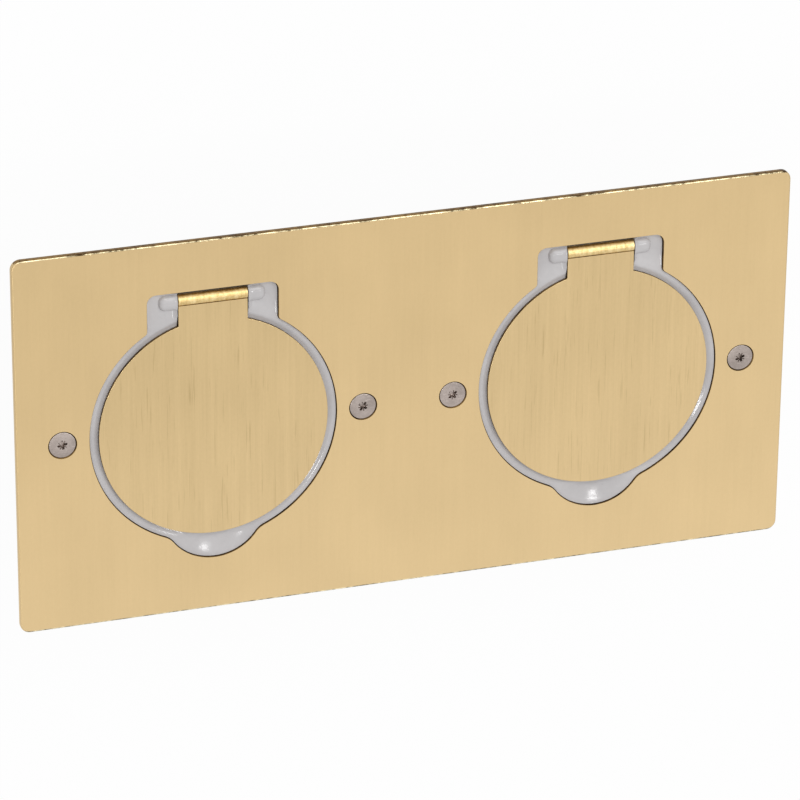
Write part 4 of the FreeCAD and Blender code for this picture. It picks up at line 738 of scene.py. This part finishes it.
def buildFlapFrame(side, x):
    size = frameSize
    shape = Shape()
    outside, inside, slot, end = frameLoops()
    frameTop(shape, outside + inside[1:-1])
    shape.band(toppedLine(shape, outside), shape.ring(outside, size["flangeTop"]), closed=False)
    # the wall round the lid goes down to its seat, or to the floor of the knuckle's slot
    feet = [(px, py, size["slotFloor"] if py > size["slotStart"] else size["seat"]) for px, py in inside]
    shape.band(toppedLine(shape, inside), shape.dots(feet), closed=False)
    frameSlot(shape, slot, end)
    frameSeat(shape, inside, slot)
    made = shape.piece(f"{side}_lidFrame", "floor_box", [finishes["grey_plastic"]],
                       centre=(x, 0), crease=size["crease"])
    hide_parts(f"{side}_flap_frame")
    print("lid frame:", side, len(made.data.polygons), "faces")


for side, x in gangs.items():
    buildFlapFrame(side, x)


screwSize = {
    "top": -0.12, "head": 3.36, "crown": 0.05, "inset": 0.08, "rimDrop": 0.16, "edge": 0.02,
    "shank": 1.75, "fillet": 0.05, "neck": 0.3, "length": 17.2, "segments": 144, "rows": 40, "crease": 30,
    "arm": 1.25, "width": 0.36, "narrowing": 0.1, "depth": 1.1, "sideSlope": 0.12, "endSlope": 0.3,
    "centre": 0.9, "centreSlope": 0.2, "tick": 0.14, "tickSlope": 0.08, "tickDepth": 0.3,
    "tickFrom": 0.6, "tickTo": 1.15, "pitch": 0.6, "thread": 0.22, "threadRows": 5, "threadSides": 32,
    "fadeIn": 1.0, "fadeOut": 0.6, "tip": 0.25, "tipLength": 0.4, "turns": (12, 55, 38, 20),
}


def headHeight(x, y):
    size = screwSize
    radius = np.hypot(x, y)
    depth = np.zeros_like(radius)
    for along, across in ((x, y), (y, x)):
        width = size["width"] - size["narrowing"] * np.abs(along) / size["arm"]
        inSide = np.clip((width - np.abs(across)) / size["sideSlope"], 0, 1)
        inEnd = np.clip((size["arm"] - np.abs(along)) / size["endSlope"], 0, 1)
        depth = np.maximum(depth, inSide * inEnd * size["depth"])
    centre = np.clip((size["centre"] - np.abs(x) - np.abs(y)) / size["centreSlope"], 0, 1)
    depth = np.maximum(depth, centre * size["depth"])
    diagonal = np.minimum(np.abs(x - y), np.abs(x + y)) / math.sqrt(2)
    ticked = (radius > size["tickFrom"]) & (radius < size["tickTo"])
    tick = np.clip((size["tick"] - diagonal) / size["tickSlope"], 0, 1) * ticked
    crown = -size["crown"] * (radius / size["head"]) ** 4
    return size["top"] + crown - np.maximum(depth, tick * size["tickDepth"])


def screwHead(shape, neck):
    size = screwSize
    segments, head, shank = size["segments"], size["head"], size["shank"]
    turns = np.linspace(0, 2 * math.pi, segments, endpoint=False)
    rings = []
    for radius in np.linspace(size["inset"], head - size["inset"], size["rows"]):
        px, py = radius * np.cos(turns), radius * np.sin(turns)
        rings.append(shape.dots(list(zip(px, py, headHeight(px, py)))))
    shape.mesh.faces.new(rings[0])
    for radius, height in ((head - size["edge"], size["top"] - size["inset"]),
                           (head, size["top"] - size["rimDrop"]),
                           (shank + size["fillet"], neck), (shank, neck - size["neck"])):
        rings.append(shape.ring(circleOutline(radius, segments), height))
    for first, second in zip(rings, rings[1:]):
        shape.band(first, second)
    shape.fill(rings[-1])


def screwThread(shape, start):
    size = screwSize
    rows, end = [], size["top"] - size["length"]
    steps = int((start - end) / (size["pitch"] / size["threadRows"]))
    angles = np.linspace(0, 2 * math.pi, size["threadSides"], endpoint=False)
    for height in np.linspace(start, end, steps):
        phase = (height / size["pitch"] - angles / (2 * math.pi)) % 1
        fade = min((start - height) / size["fadeIn"], (height - end) / size["fadeOut"], 1)
        taper = size["tip"] * max(0, 1 - (height - end) / size["tipLength"])
        radius = size["shank"] - size["thread"] * fade * (1 - np.abs(2 * phase - 1)) - taper
        rows.append(shape.dots([(r * math.cos(a), r * math.sin(a), height) for r, a in zip(radius, angles)]))
    for first, second in zip(rows, rows[1:]):
        shape.band(first, second)
    shape.fill(rows[0])
    shape.fill(rows[-1])


def buildCoverScrew(number, x, turn):
    size = screwSize
    shape = Shape()
    neck = size["top"] - (size["head"] - size["shank"])
    screwHead(shape, neck)
    screwThread(shape, neck - size["neck"])
    return shape.piece(f"coverScrew{number}", "floor_box", [finishes["screw_steel"]],
                       centre=(x, 0), turn=turn, crease=size["crease"])


places = sorted(x + way * openingPlan["screwReach"] for x in gangs.values() for way in (-1, 1))
for number, (x, turn) in enumerate(zip(places, screwSize["turns"]), 1):
    screw = buildCoverScrew(number, x, turn)
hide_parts("cover_screws")
print("cover screws:", number)


def seenPlainly(graph):
    # 1 where the eye, a reflection or a view through glass meets the surface
    kinds = [graph.add("LightPath", outlet=name) for name in ("Is Camera Ray", "Is Glossy Ray",
                                                              "Is Transmission Ray")]
    return maths("MAXIMUM", maths("MAXIMUM", kinds[0], kinds[1]), kinds[2])


floorLook = {"reach": 3.0, "grey": (0.9, 0.9, 0.9, 1.0), "white": (1.0, 1.0, 1.0, 1.0), "glow": 0.96}


def buildFloor():
    look = floorLook
    grid = bmesh.new()
    bmesh.ops.create_grid(grid, x_segments=4, y_segments=4, size=look["reach"])
    data = bpy.data.meshes.new("floor")
    grid.to_mesh(data)
    grid.free()
    floor = bpy.data.objects.new("floor", data)
    floor.location.z = cadBox[0].z
    bpy.context.scene.collection.objects.link(floor)
    graph = newFinish("paleFloor")
    dull = graph.add("BsdfDiffuse", {}, {"Color": look["grey"]})
    bright = graph.add("Emission", {}, {"Color": look["white"], "Strength": 1.0})
    mix = graph.add("MixShader", {}, {0: seenPlainly(graph) * look["glow"], 1: dull, 2: bright})
    graph.add("OutputMaterial", {}, {"Surface": mix})
    data.materials.append(graph.owner)


skyLook = {"color": (1.0, 1.0, 1.0, 1.0), "level": 0.56}


def buildSky():
    world = bpy.data.worlds.new("studio")
    bpy.context.scene.world = world
    graph = Graph(world)
    level = seenPlainly(graph) * (1 - skyLook["level"]) + skyLook["level"]
    back = graph.add("Background", {}, {"Color": skyLook["color"], "Strength": level})
    graph.add("OutputWorld", {}, {"Surface": back})


lamps = {
    "softbox": {"from": (0.16, 0.56, 0.82), "away": 0.95, "size": (0.75, 0.55), "level": 2.1},
    "spotRight": {"from": (0.3625, -0.0195, 0.932), "away": 1.178, "size": (0.1, 0.13), "level": 20},
    "spotFront": {"from": (-0.259, -0.15, 0.954), "away": 1.213, "size": (0.17, 0.1), "level": 22},
}


def buildLamps():
    aim = Vector((0, 0, face * mm))
    for name, lamp in lamps.items():
        light = bpy.data.lights.new(name, "AREA")
        light.shape = "RECTANGLE"
        light.size, light.size_y = lamp["size"]
        light.energy = lamp["level"] * math.pi * light.size * light.size_y
        holder = bpy.data.objects.new(name, light)
        towards = Vector(lamp["from"]).normalized()
        holder.location = aim + towards * lamp["away"]
        holder.rotation_euler = towards.to_track_quat("Z", "Y").to_euler()
        bpy.context.scene.collection.objects.link(holder)


frontView = {
    "lens": 225.856, "sensor": 36.0, "near": 0.05, "far": 20.0, "spot": (-0.34979, 0.530153, 1.113343),
    "right": (0.95225059, 0.00766093, 0.30522143), "up": (0.12329044, 0.90490614, -0.40736265),
    "back": (-0.27931752, 0.42554221, 0.86075289),
}


def buildCamera():
    view = frontView
    camera = bpy.data.cameras.new("camera")
    camera.lens, camera.sensor_width = view["lens"], view["sensor"]
    camera.clip_start, camera.clip_end = view["near"], view["far"]
    holder = bpy.data.objects.new("camera", camera)
    rows = zip(view["right"], view["up"], view["back"], view["spot"])
    holder.matrix_world = Matrix([*rows, (0, 0, 0, 1)])
    bpy.context.scene.collection.objects.link(holder)
    bpy.context.scene.camera = holder


buildFloor()
buildSky()
buildLamps()
buildCamera()
bpy.context.scene.view_settings.view_transform = "Standard"
print("stage set")

bpy.context.view_layer.update()
